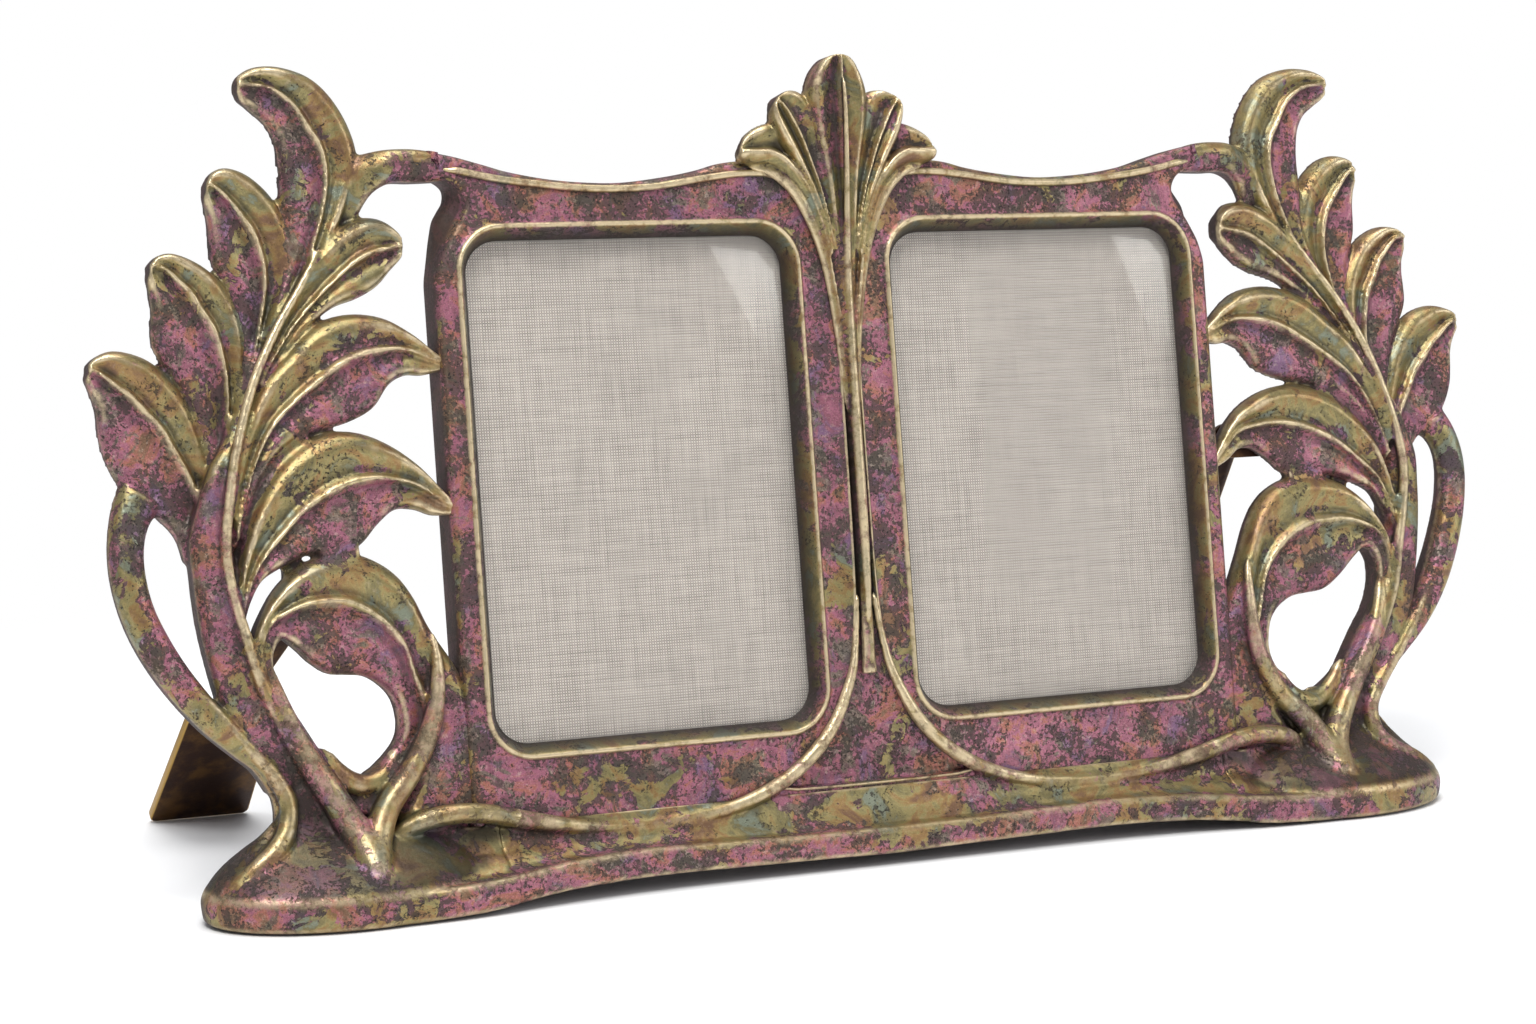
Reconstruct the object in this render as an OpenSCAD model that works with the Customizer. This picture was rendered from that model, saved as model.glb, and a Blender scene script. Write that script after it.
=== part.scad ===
// Double photo frame: two upright windows in a cast metal front, with a leaf wing at each side,
// a palmette crest, a base with two flared feet, and two folding easel legs.
// The front leans back. Inside lean() X runs across, Y goes back from the front lips and Z up the face.

/* [Windows] */
// Width of each window at its front lip
window_w = 86; // [76:1:100]
// Height of each window at its front lip
window_h = 122; // [110:1:140]
// Corner radius of the front lip
window_r = 10; // [6:0.5:14]
// Space between the two windows
window_gap = 26; // [22:1:34]
// Width of the raised lip round each window
lip_w = 1.6; // [1:0.1:2.5]
// Height of the raised lip above the field of the frame
lip_h = 1; // [0.6:0.1:1.6]
// Depth of the wide front part of the window
reveal_depth = 2.6; // [1.5:0.1:3.2]
// Thickness of the ledge that the glass lies on
ledge_t = 2.3; // [1.5:0.1:3]
// Width of the ledge inside the front lip
ledge_w = 2.3; // [1.5:0.1:3.5]
// How far the recess for the glass reaches past the lip
rebate_w = 2.5; // [1.5:0.1:2.8]
// Corner radius of the recess for the glass
rebate_r = 5; // [4:0.5:7]

/* [Rails] */
// Width of the outer rails beside the windows
side_rail = 6.5; // [6:0.5:10]
// Height of the top rail over the middle of a window
top_rail = 10.5; // [9.5:0.5:14]
// Height of the bottom rail
bottom_rail = 20; // [16:1:26]
// Height of the frame's lower edge above the floor, up the leaning face
frame_rise = 14; // [13:0.5:16]
// Thickness of the frame from the lips to the back
frame_t = 11; // [10.8:0.2:14]
// Angle that the face leans back
lean_angle = 9.1; // [7:0.1:11]

/* [Glazing] */
// Thickness of the glass
glass_t = 1.8; // [1.5:0.1:2]
// Thickness of the cloth-covered display card
card_t = 1; // [0.6:0.1:1.2]
// Space between the display card and the sides of its recess
card_gap = 1; // [0.4:0.1:1.5]
// Thickness of the packing board
packing_t = 1; // [0.6:0.1:1.2]
// Thickness of the back board
board_t = 2; // [1.5:0.1:2.2]
// Clearance round the glass and the back board
pane_gap = 0.3; // [0.2:0.05:0.5]

/* [Turn buttons] */
// Length of a turn button from its screw to the working end
button_reach = 9; // [7.5:0.5:11]
// Width of a turn button
button_w = 5; // [4.5:0.5:6]
// Thickness of a turn button
button_t = 1.2; // [0.8:0.1:2]
// Distance of the screws from the edge of the recess
button_edge = 4; // [3.5:0.5:5]
// Distance of the screws from the upright middle line of a window
button_offset = 26; // [18:1:30]
// Radius of the screws' shanks
screw_r = 1; // [0.8:0.1:1.2]
// Radius of the screws' heads
screw_head_r = 2; // [1.6:0.1:2.4]
// Height of the screws' heads
screw_head_h = 1.1; // [0.8:0.1:1.5]
// Length of the screws in the casting
screw_grip = 3; // [2.5:0.5:4]

/* [Wings and crest] */
// Reach of a wing beyond the outer rail
wing_w = 83; // [76:1:95]
// Height of a wing above the top of the windows
wing_rise = 39.5; // [36:0.5:46]
// Height of the crest above the top of the windows
crest_rise = 40.5; // [34:0.5:46]
// Half the width of the crest
crest_half = 27; // [24:0.5:30]
// How far the crest's middle rib stands in front of the lips
crest_front = 6.8; // [5:0.2:8]
// Height of the leaves' middle ribs above their edges
leaf_crown = 2.2; // [1:0.1:3]
// How far the spine and the scrolls stand out from the field of the frame
rib_h = 3; // [2:0.1:4]

/* [Base] */
// Half the length of a foot
foot_rx = 34; // [30:1:38]
// Half the depth of a foot
foot_ry = 20; // [17:1:23]
// Distance of the feet outside the edges of the panels
foot_reach = 28.5; // [24.5:0.5:32.5]
// How far the feet stand in front of the lips
foot_front = 12; // [9:1:15]
// Height at which the wings stand on the feet
neck_z = 21; // [20:0.5:23]
// Height of the front ridge of the base at the feet
ridge_z = 7.6; // [6.6:0.2:9]
// Depth of the base between the feet, behind the lips
band_back = 20; // [17:1:24]
// Thickness of the felt pads
pad_t = 1; // [0.7:0.1:1.6]
// Depth of the pads' pockets in the feet
pad_sink = 0.6; // [0.3:0.1:0.6]
// Half the length of a felt pad
pad_half = 22; // [14:1:24]
// Half the width of a felt pad
pad_r = 9; // [5:1:12]

/* [Easel legs] */
// Angle of an open leg from the upright
leg_angle = 45; // [42:1:48]
// Thickness of a leg
leg_t = 2.5; // [2:0.1:3]
// Width of the narrow shank
shank_w = 5; // [4:0.5:6]
// Width of the leg at the floor
shoe_w = 26; // [18:1:28]
// Width at the top of the wide lower part
shoe_top_w = 23; // [16:0.5:26]
// Length of the wide lower part of a leg
shoe_l = 49; // [40:1:60]
// Distance of the wide lower parts outside the edges of the panels
shoe_reach = 30.5; // [24.5:0.5:34.5]
// Distance of the leg hinges outside the edges of the panels
hinge_reach = 12.5; // [12:0.5:14.5]
// Height of the hinges above the middle of the windows
hinge_rise = 3; // [2.5:0.5:5]
// Width of a leg's hinge eye
eye_w = 5; // [4:0.5:6]
// Radius of the hinge eyes and ears
eye_r = 3; // [2.8:0.1:3.6]
// Radius of the hinge pins
pin_r = 1.5; // [1:0.1:1.8]
// Running clearance of a leg on its pin
pin_gap = 0.06; // [0.03:0.01:0.1]
// Thickness of a bracket's plate
bracket_t = 1.8; // [1.4:0.1:2.5]
// Height of a bracket's plate
bracket_h = 9; // [8.5:0.5:10]
// Thickness of each ear of a bracket
ear_t = 1.8; // [1.5:0.1:2.2]

/* [Hidden] */

$fn = 48;
// Overrun of cuts past a face, and the clearance beside, over and under a turning piece
over = 1;
gap = 0.1;

// Lines of the front, across and up the leaning face
side_x = window_gap / 2 + window_w + side_rail;
window_x = (window_gap + window_w) / 2;
window_v = frame_rise + bottom_rail;
window_mid = window_v + window_h / 2;
window_top = window_v + window_h;
wing_h = window_top + wing_rise;
foot_x = side_x + foot_reach;

// Depths behind the lips
glass_y = reveal_depth + ledge_t;
card_y = glass_y + glass_t;
packing_y = card_y + card_t;
board_y = packing_y + packing_t;
rebate_full_w = window_w + 2 * rebate_w;
rebate_full_h = window_h + 2 * rebate_w;

// Depths of the leaves' fronts and backs behind the lips, thin ones first
leaf_fronts = [1, 1.5, 2, 3, 4, 6, 6.5, 7.5];
leaf_depth = 6.5;
stem_depth = 8.5;
leaf_back = leaf_fronts[1] + leaf_depth;

// Hinges of the legs
bracket_y = leaf_back + bracket_t;
hinge_x = side_x + hinge_reach;
hinge_v = window_mid + hinge_rise;
shoe_x = side_x + shoe_reach;
pin_v = hinge_v;
pin_y = bracket_y + eye_r + 2 * gap;
pin_world_y = pin_v * sin(lean_angle) + pin_y * cos(lean_angle);
pin_z = pin_v * cos(lean_angle) - pin_y * sin(lean_angle);
leg_l = pin_z / cos(leg_angle);
ear_x = eye_w / 2 + gap;
pin_head_t = leg_t / 3;
bracket_screw_x = ear_x + ear_t + pin_head_t + screw_head_r + 2 * gap;
bracket_half = bracket_screw_x + screw_head_r + 3 * gap;

// The origin is on the floor, in the middle of the part's depth
back_y = pin_world_y + pin_z * tan(leg_angle) + leg_t / 2 / cos(leg_angle);
origin_y = (back_y - foot_front) / 2;
bed_z = pad_t - pad_sink;

metal = "#8a566c";
gilt = "#8d7a45";
bronze = "#6b5232";
steel = "#a8925a";
clear = "#c9d6d6";
linen = "#beb4aa";
board = "#7b6a55";
velvet = "#3a2430";
felt = "#4a3a2c";

// Leaves of a wing, from the tip to the root. Each row is a point on one edge and its partner on
// the other, as shares of wing_w out from the rail and of wing_h up from the floor.
top_leaf_shares = [
    [.519, .97, .519, .974], [.51, .959, .512, .984], [.476, .947, .467, .995],
    [.44, .934, .398, .997], [.416, .916, .313, .986], [.406, .895, .251, .963],
    [.404, .87, .204, .928], [.406, .839, .184, .89], [.401, .803, .208, .849],
    [.408, .767, .269, .798], [.44, .729, .341, .749], [.488, .68, .437, .691]
];
second_leaf_shares = [
    [.617, .854, .617, .86], [.62, .847, .596, .874], [.614, .831, .552, .88],
    [.608, .813, .496, .872], [.608, .795, .442, .852], [.605, .775, .407, .828],
    [.588, .754, .384, .798], [.566, .731, .38, .77], [.548, .706, .398, .739],
    [.539, .675, .442, .703], [.542, .645, .508, .652]
];
third_leaf_shares = [
    [.787, .763, .787, .768], [.79, .753, .765, .778], [.784, .737, .72, .782],
    [.78, .719, .665, .774], [.784, .701, .616, .76], [.784, .68, .572, .739],
    [.765, .66, .546, .711], [.733, .639, .535, .68], [.702, .611, .543, .647],
    [.681, .578, .565, .605], [.661, .542, .595, .56], [.655, .505, .622, .52]
];
fourth_leaf_shares = [
    [.97, .65, .97, .656], [.975, .641, .948, .665], [.96, .624, .898, .672],
    [.948, .606, .837, .667], [.946, .586, .784, .655], [.94, .563, .736, .634],
    [.922, .54, .7, .609], [.893, .517, .675, .578], [.849, .496, .658, .542],
    [.792, .478, .651, .501], [.752, .455, .651, .46], [.733, .425, .652, .419]
];
small_leaf_shares = [
    [.076, .785, .076, .781], [.089, .799, .083, .77], [.128, .814, .112, .756],
    [.182, .817, .154, .738], [.235, .81, .213, .725], [.289, .795, .278, .716],
    [.343, .771, .337, .7], [.396, .739, .404, .674], [.449, .703, .464, .643],
    [.508, .657, .522, .61]
];
upper_leaf_shares = [
    [-.024, .643, -.024, .637], [.018, .658, .04, .631], [.069, .678, .09, .632],
    [.136, .696, .141, .621], [.214, .703, .19, .595], [.293, .7, .263, .58],
    [.364, .687, .341, .572], [.429, .662, .417, .562], [.5, .633, .486, .54],
    [.556, .59, .538, .512], [.595, .539, .578, .478], [.62, .486, .608, .442]
];
middle_leaf_shares = [
    [-.024, .471, -.024, .464], [.024, .496, .042, .465], [.076, .522, .09, .473],
    [.136, .543, .148, .474], [.208, .559, .201, .458], [.281, .566, .259, .434],
    [.353, .563, .335, .428], [.425, .548, .419, .426], [.49, .523, .492, .413],
    [.546, .487, .547, .389], [.586, .445, .584, .36], [.616, .394, .613, .325]
];
loop_leaf_shares = [
    [.054, .072, .343, .128], [-.02, .123, .295, .162], [-.02, .169, .257, .174],
    [-.02, .205, .219, .188], [-.02, .246, .19, .203], [.012, .284, .178, .219],
    [.078, .332, .181, .237], [.117, .368, .195, .255], [.163, .395, .227, .271],
    [.227, .414, .269, .282], [.299, .424, .317, .285], [.377, .421, .371, .288],
    [.449, .409, .419, .301], [.51, .388, .464, .32], [.555, .363, .504, .332],
    [.582, .34, .535, .315], [.583, .307, .534, .289], [.57, .276, .51, .261],
    [.53, .235, .47, .233], [.476, .184, .41, .189]
];
outer_stem_shares = [
    [.895, .522, .789, .491], [.922, .494, .829, .473], [.941, .46, .851, .448],
    [.946, .425, .855, .417], [.936, .389, .841, .38], [.91, .35, .808, .344],
    [.864, .309, .764, .308], [.801, .269, .713, .275], [.729, .233, .661, .247],
    [.652, .203, .596, .22], [.593, .181, .536, .197], [.552, .153, .482, .174]
];
main_stem_shares = [
    [.53, .655, .495, .645], [.575, .6, .535, .592], [.62, .56, .575, .555],
    [.663, .532, .614, .535], [.699, .491, .62, .496], [.729, .45, .62, .455],
    [.727, .409, .616, .409], [.719, .358, .602, .363], [.699, .307, .584, .317],
    [.669, .256, .554, .271], [.62, .215, .5, .23], [.566, .174, .428, .189],
    [.536, .138, .343, .164], [.542, .097, .271, .138]
];
arm_shares = [
    [-.03, .901, -.03, .862], [.03, .907, .042, .868], [.09, .907, .106, .865],
    [.139, .903, .159, .855], [.184, .898, .192, .836], [.229, .895, .214, .811]
];
// Webs that tie neighbouring leaves together behind their faces
upper_web_shares = [
    [.386, .58, .386, .547], [.476, .552, .476, .501], [.56, .506, .56, .45],
    [.585, .474, .585, .43]
];
lower_web_shares = [[.265, .436, .265, .408], [.375, .433, .375, .411]];
strut_shares = [[.425, .435, .425, .388], [.475, .425, .475, .378]];

// Lobes of the crest and the spine, as shares of crest_half across and of crest_rise above the windows
crest_middle_shares = [
    [.028, 1, -.028, 1], [.106, .983, -.106, .983], [.183, .938, -.183, .938],
    [.239, .864, -.239, .864], [.268, .765, -.268, .765], [.246, .642, -.246, .642],
    [.197, .494, -.197, .494], [.148, .346, -.148, .346], [.106, .198, -.106, .198]
];
crest_side_shares = [
    [.63, .726, .599, .751], [.655, .667, .475, .79], [.644, .593, .352, .78],
    [.592, .506, .268, .716], [.493, .395, .211, .605], [.387, .272, .176, .457],
    [.282, .136, .141, .296], [.194, -.025, .088, .099]
];
crest_low_shares = [
    [.996, .415, .986, .44], [.986, .385, .915, .519], [.863, .353, .775, .58],
    [.722, .346, .627, .6], [.581, .304, .493, .556], [.458, .222, .387, .444],
    [.363, .111, .292, .309], [.264, -.037, .204, .111], [.187, -.198, .141, -.099]
];
// The spine's half width as a share of half the space between the windows, and its height as a
// share of window_h above the windows' lower edge
spine_shares = [
    [.6, 1.09], [.423, 1.016], [.323, .951], [.262, .787], [.231, .541], [.246, .377],
    [.354, .213], [.585, .082]
];
// The scrolls under the windows, as shares of side_x across and of window_v up
scroll_shares = [
    [.072, 1.294, .03, 1.294], [.09, 1.176, .053, 1.059], [.128, .971, .085, .838],
    [.218, .691, .18, .553], [.341, .524, .313, .406], [.474, .456, .474, .353],
    [.664, .45, .664, .347], [.853, .524, .863, .406], [.976, .595, .986, .48],
    [1.062, .6, 1.062, .49], [1.118, .58, 1.109, .46], [1.166, .505, 1.147, .4]
];
// The frame's top and shoulder, as shares of side_x across and of top_rail above the windows
top_outline_shares = [
    [0, 1.524], [.19, 1.524], [.284, 1.457], [.351, 1.295], [.427, 1.162], [.531, 1.048],
    [.616, 1.057], [.711, 1.143], [.806, 1.314], [.872, 1.524], [.938, 1.771], [1, 1.943],
    [1, 1.181], [.982, 1.171], [.954, 1.095], [.935, .952], [.923, .714], [.926, .476],
    [.937, .286], [.956, 0], [.972, -.286], [.986, -.571], [.997, -.952], [1, -1.143]
];
// Levels of a foot as shares: height of neck_z, outer and inner reach of foot_rx, front and back
// reach of foot_ry
foot_shares = [
    [.06, 1, 1, 1, 1], [.29, 1.02, 1.02, 1, 1], [.4, 1, .99, .98, .98], [.52, .955, .97, .9, .9],
    [.64, .87, .88, .72, .75], [.79, .75, .73, .5, .6], [.9, .64, .59, .33, .48],
    [1, .55, .47, .23, .42]
];
foot_bottom_share = .96;
// Stations of the base between the feet as shares: distance from the middle of foot_x, set-back of
// the front of foot_ry, lower edge and ridge of ridge_z
band_shares = [
    [0, .3, .38, 1.24], [.22, .295, .45, 1.26], [.45, .275, .51, 1.37], [.61, .2, .46, 1.32],
    [.71, .12, .32, 1.17], [.78, .06, .16, 1.05], [.85, .02, .1, 1], [.93, .01, .06, .96],
    [1, .02, .06, .93]
];

// Wraps closed rings of points, each clockwise as seen from the first ring, in one skin
module skin(rings) {
    n = len(rings[0]);
    last = len(rings) - 1;
    polyhedron(
        points = [for (ring = rings) for (p = ring) p],
        faces = concat(
            [[for (j = [0:n - 1]) j]],
            [for (i = [0:last - 1], j = [0:n - 1]) [i * n + j, (i + 1) * n + j, i * n + (j + 1) % n]],
            [for (i = [0:last - 1], j = [0:n - 1])
                [i * n + (j + 1) % n, (i + 1) * n + j, (i + 1) * n + (j + 1) % n]],
            [[for (j = [n - 1:-1:0]) last * n + j]]
        ),
        convexity = 8
    );
}

function mix(a, b, share) = a + (b - a) * share;

// Ring of one leaf station: flat at the back, with edges that fall away from a middle rib. The inset
// is the share of the width by which the back is narrower at each side.
function leaf_ring(a, b, front, back, crown, inset = 0) = concat(
    [[mix(a.x, b.x, inset), back, mix(a.y, b.y, inset)]],
    [for (s = [[0, 1], [.2, .35], [.5, 0], [.8, .35], [1, 1]])
        [mix(a.x, b.x, s[0]), front + s[1] * crown, mix(a.y, b.y, s[0])]],
    [[mix(b.x, a.x, inset), back, mix(b.y, a.y, inset)]]
);

// A leaf or stem from rows of edge points, which give its rings
module leaf(shares, front, depth) {
    skin([for (row = shares) leaf_ring(
        [side_x + row[0] * wing_w, row[1] * wing_h],
        [side_x + row[2] * wing_w, row[3] * wing_h],
        front, front + depth, leaf_crown, .1
    )]);
}

// A lobe of the crest, from rows of edge points
module lobe(shares, front, back) {
    skin([for (row = shares) leaf_ring(
        [row[0] * crest_half, window_top + row[1] * crest_rise],
        [row[2] * crest_half, window_top + row[3] * crest_rise],
        front, back, leaf_crown, .15
    )]);
}

module lean() {
    translate([0, -origin_y, 0])
        rotate([-lean_angle, 0, 0])
            children();
}

module stand() {
    translate([0, -origin_y, 0])
        children();
}

// Mirrors a piece drawn for the right side when the side is -1
module sided(side) {
    mirror([side < 0 ? 1 : 0, 0, 0])
        children();
}

// Extrudes a shape drawn across and up the face from one depth to another
module slab(from, to) {
    translate([0, to, 0])
        rotate([90, 0, 0])
            linear_extrude(to - from)
                children();
}

module rod(r, from, to) {
    translate([0, to, 0])
        rotate([90, 0, 0])
            cylinder(r = r, h = to - from);
}

module round_rect(w, h, r) {
    square([w, h - 2 * r], center = true);
    square([w - 2 * r, h], center = true);
    for (x = [-1, 1], y = [-1, 1])
        translate([x * (w / 2 - r), y * (h / 2 - r)])
            circle(r = r);
}

// Slot with round ends, from the first centre to the second along Y
module stadium(length, r) {
    translate([-r, 0])
        square([2 * r, length]);
    circle(r = r);
    translate([0, length])
        circle(r = r);
}

module at_windows() {
    for (side = [-1, 1])
        translate([side * window_x, window_mid])
            children();
}

module frame_outline() {
    shoulder = [for (p = top_outline_shares) [p[0] * side_x, window_top + p[1] * top_rail]];
    for (side = [-1, 1])
        mirror([side < 0 ? 1 : 0, 0])
            polygon(concat([[0, frame_rise]], shoulder, [[side_x, frame_rise]]));
}

// Corner screws of the turn buttons: 1 and 2 over the window, 3 and 4 under it
function button_x(k) = (k % 2 == 0 ? 1 : -1) * button_offset;
function button_v(k) = k <= 2
    ? window_top + rebate_w + button_edge
    : window_v - rebate_w - button_edge;

module at_button(side, k) {
    translate([side * (window_x + button_x(k)), 0, button_v(k)])
        children();
}

module front_frame() {
    color(metal)
        lean()
            difference() {
                union() {
                    slab(lip_h, frame_t)
                        frame_outline();
                    slab(0, lip_h)
                        at_windows()
                            round_rect(window_w + 2 * lip_w, window_h + 2 * lip_w, window_r + lip_w);
                }
                slab(-over, reveal_depth)
                    at_windows()
                        round_rect(window_w, window_h, window_r);
                slab(-over, frame_t + over)
                    at_windows()
                        round_rect(window_w - 2 * ledge_w, window_h - 2 * ledge_w, window_r - ledge_w);
                slab(glass_y, frame_t + over)
                    at_windows()
                        round_rect(rebate_full_w, rebate_full_h, rebate_r);
                for (side = [-1, 1], k = [1:4])
                    at_button(side, k)
                        rod(screw_r, frame_t - screw_grip, frame_t + over);
            }
}

// Everything that the frame's plate fills, from its field to its back
module frame_block() {
    lean()
        slab(lip_h, frame_t)
            frame_outline();
}

module spine() {
    skin([for (row = spine_shares) leaf_ring(
        [row[0] * window_gap / 2, window_v + row[1] * window_h],
        [-row[0] * window_gap / 2, window_v + row[1] * window_h],
        lip_h - rib_h, lip_h, rib_h - 2 * gap
    )]);
}

module crest() {
    color(gilt)
        difference() {
            lean() {
                lobe(crest_middle_shares, -crest_front, 2 * lip_h + 4 * gap);
                for (side = [-1, 1])
                    sided(side) {
                        lobe(crest_side_shares, -.62 * crest_front, 2 * lip_h);
                        lobe(crest_low_shares, -.38 * crest_front, 2 * lip_h - 4 * gap);
                    }
                spine();
            }
            frame_block();
        }
}

module wing(side) {
    color(metal)
        sided(side)
            difference() {
                lean() {
                    leaf(loop_leaf_shares, leaf_fronts[0], stem_depth);
                    leaf(middle_leaf_shares, leaf_fronts[1], leaf_depth);
                    leaf(upper_leaf_shares, leaf_fronts[2], leaf_depth);
                    leaf(small_leaf_shares, leaf_fronts[3], leaf_depth);
                    leaf(top_leaf_shares, leaf_fronts[4], leaf_depth);
                    leaf(second_leaf_shares, leaf_fronts[5], leaf_depth);
                    leaf(third_leaf_shares, leaf_fronts[6], leaf_depth);
                    leaf(fourth_leaf_shares, leaf_fronts[7], leaf_depth);
                    leaf(outer_stem_shares, leaf_fronts[4], stem_depth);
                    leaf(main_stem_shares, leaf_fronts[2], stem_depth + 2 * lip_h);
                    leaf(arm_shares, leaf_fronts[0], stem_depth);
                    leaf(upper_web_shares, leaf_fronts[4], leaf_depth - lip_h);
                    leaf(lower_web_shares, leaf_fronts[3], leaf_depth - 2 * lip_h);
                    leaf(strut_shares, leaf_fronts[5], leaf_depth / 2);
                }
                lean()
                    translate([0, -frame_t, 0])
                        cube([side_x, 3 * frame_t, 2 * wing_h]);
                stand()
                    translate([0, -foot_ry, -neck_z])
                        cube([2 * side_x, 4 * foot_ry, 2 * neck_z]);
                lean()
                    for (x = [-1, 1])
                        translate([hinge_x + x * bracket_screw_x, 0, hinge_v])
                            rod(screw_r, leaf_back - screw_grip, leaf_back + over);
            }
}

// Ring of a foot: half ellipses that meet at the outer and inner ends
function foot_ring(z, outer, inner, front, back) = [
    for (i = [0:27])
        let (turn = i * 360 / 28)
            [
                foot_x + foot_rx * cos(turn) * (cos(turn) > 0 ? outer : inner),
                foot_ry - foot_front + foot_ry * sin(turn) * (sin(turn) > 0 ? back : front),
                z
            ]
];

module foot() {
    s = foot_bottom_share;
    skin(concat(
        [foot_ring(bed_z, s, s, s, s)],
        [for (row = foot_shares) foot_ring(row[0] * neck_z, row[1], row[2], row[3], row[4])]
    ));
}

// A point behind the lips and up the face, seen from the side
function on_face(v, w) = [
    v * sin(lean_angle) + w * cos(lean_angle),
    v * cos(lean_angle) - w * sin(lean_angle)
];

// Ring of the base between the feet: front edge, ridge, slope up to the frame, seat and back
function band_ring(x, front, low, ridge) = [
    for (p = [
        [band_back - over, low],
        [band_back, low + over],
        [band_back, ridge],
        on_face(frame_rise - over, frame_t + reveal_depth),
        on_face(frame_rise + over, frame_t - reveal_depth - over),
        on_face(window_v / 2 + over, lip_h + over),
        [front + 4 * over, ridge + over],
        [front + over, ridge],
        [front, ridge - over],
        [front, low + over],
        [front + over, low]
    ]) [x, p.x, p.y]
];

module band() {
    count = len(band_shares);
    skin([for (i = [1 - count:count - 1])
        let (row = band_shares[abs(i)])
            band_ring(
                sign(i) * row[0] * foot_x,
                row[1] * foot_ry - foot_front,
                row[2] * ridge_z,
                row[3] * ridge_z
            )
    ]);
}

module scroll() {
    skin([for (row = scroll_shares) leaf_ring(
        [row[0] * side_x, row[1] * window_v],
        [row[2] * side_x, row[3] * window_v],
        lip_h - rib_h, leaf_back, rib_h - 2 * gap
    )]);
}

module pad_shape() {
    translate([-pad_half + pad_r, 0])
        rotate([0, 0, -90])
            stadium(2 * (pad_half - pad_r), pad_r);
}

module at_feet() {
    for (side = [-1, 1])
        translate([side * foot_x, foot_ry - foot_front, 0])
            children();
}

module base() {
    color(metal)
        difference() {
            union() {
                stand()
                    band();
                for (side = [-1, 1])
                    sided(side) {
                        stand()
                            foot();
                        lean()
                            scroll();
                    }
            }
            frame_block();
            stand()
                at_feet()
                    translate([0, 0, -over])
                        linear_extrude(pad_t + over)
                            pad_shape();
        }
}

module foot_pads() {
    color(felt)
        stand()
            at_feet()
                linear_extrude(pad_t)
                    pad_shape();
}

// One pane of the stack behind a window
module pane(side, from, thick, play) {
    lean()
        slab(from, from + thick)
            translate([side * window_x, window_mid])
                round_rect(rebate_full_w - 2 * play, rebate_full_h - 2 * play, rebate_r);
}

module glass(side) {
    color(clear, 0.35)
        pane(side, glass_y, glass_t, pane_gap);
}

module card(side) {
    color(linen)
        pane(side, card_y, card_t, card_gap);
}

module packing(side) {
    color(board)
        pane(side, packing_y, packing_t, card_gap);
}

module back_board(side) {
    color(velvet)
        pane(side, board_y, board_t, pane_gap);
}

module turn_button(side, k) {
    color(steel)
        lean()
            at_button(side, k)
                difference() {
                    slab(frame_t + gap, frame_t + gap + button_t)
                        mirror([0, k <= 2 ? 1 : 0])
                            stadium(button_reach - button_w / 2, button_w / 2);
                    rod(screw_r + pin_gap, 0, 2 * frame_t);
                }
}

module turn_button_screws() {
    seat = frame_t + button_t + 2 * gap;
    color(steel)
        lean()
            for (side = [-1, 1], k = [1:4])
                at_button(side, k) {
                    rod(screw_head_r, seat, seat + screw_head_h);
                    rod(screw_r, frame_t - screw_grip, seat + screw_head_h / 2);
                }
}

// Places a piece at a hinge, with its pin on the X axis
module at_hinge(side) {
    sided(side)
        translate([hinge_x, pin_world_y - origin_y, pin_z])
            children();
}

module cross_rod(r, half) {
    translate([-half, 0, 0])
        rotate([0, 90, 0])
            cylinder(r = r, h = 2 * half);
}

module leg_bracket(side) {
    drop = pin_y - bracket_y;
    color(bronze)
        at_hinge(side)
            rotate([-lean_angle, 0, 0])
                difference() {
                    union() {
                        slab(-drop - bracket_t, -drop)
                            rotate([0, 0, -90])
                                translate([0, -bracket_half + bracket_h / 2])
                                    stadium(2 * bracket_half - bracket_h, bracket_h / 2);
                        for (x = [-1, 1])
                            translate([x * (ear_x + ear_t / 2), 0, 0]) {
                                cross_rod(eye_r, ear_t / 2);
                                translate([-ear_t / 2, -drop - bracket_t / 2, -eye_r])
                                    cube([ear_t, drop + bracket_t / 2, 2 * eye_r]);
                            }
                    }
                    cross_rod(pin_r, bracket_half);
                    for (x = [-1, 1])
                        translate([x * bracket_screw_x, 0, 0])
                            rod(screw_r, -2 * drop - bracket_t, 0);
                }
}

module bracket_screws() {
    color(steel)
        lean()
            for (side = [-1, 1], x = [-1, 1])
                translate([side * (hinge_x + x * bracket_screw_x), 0, hinge_v]) {
                    rod(screw_head_r, bracket_y, bracket_y + screw_head_h);
                    rod(screw_r, leaf_back - screw_grip, bracket_y + screw_head_h / 2);
                }
}

module leg_pin(side) {
    reach = ear_x + ear_t;
    color(steel)
        at_hinge(side) {
            cross_rod(pin_r, reach + pin_head_t);
            for (x = [-1, 1])
                translate([x * (reach + pin_head_t / 2), 0, 0])
                    cross_rod(pin_r + pin_head_t, pin_head_t / 2);
        }
}

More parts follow.
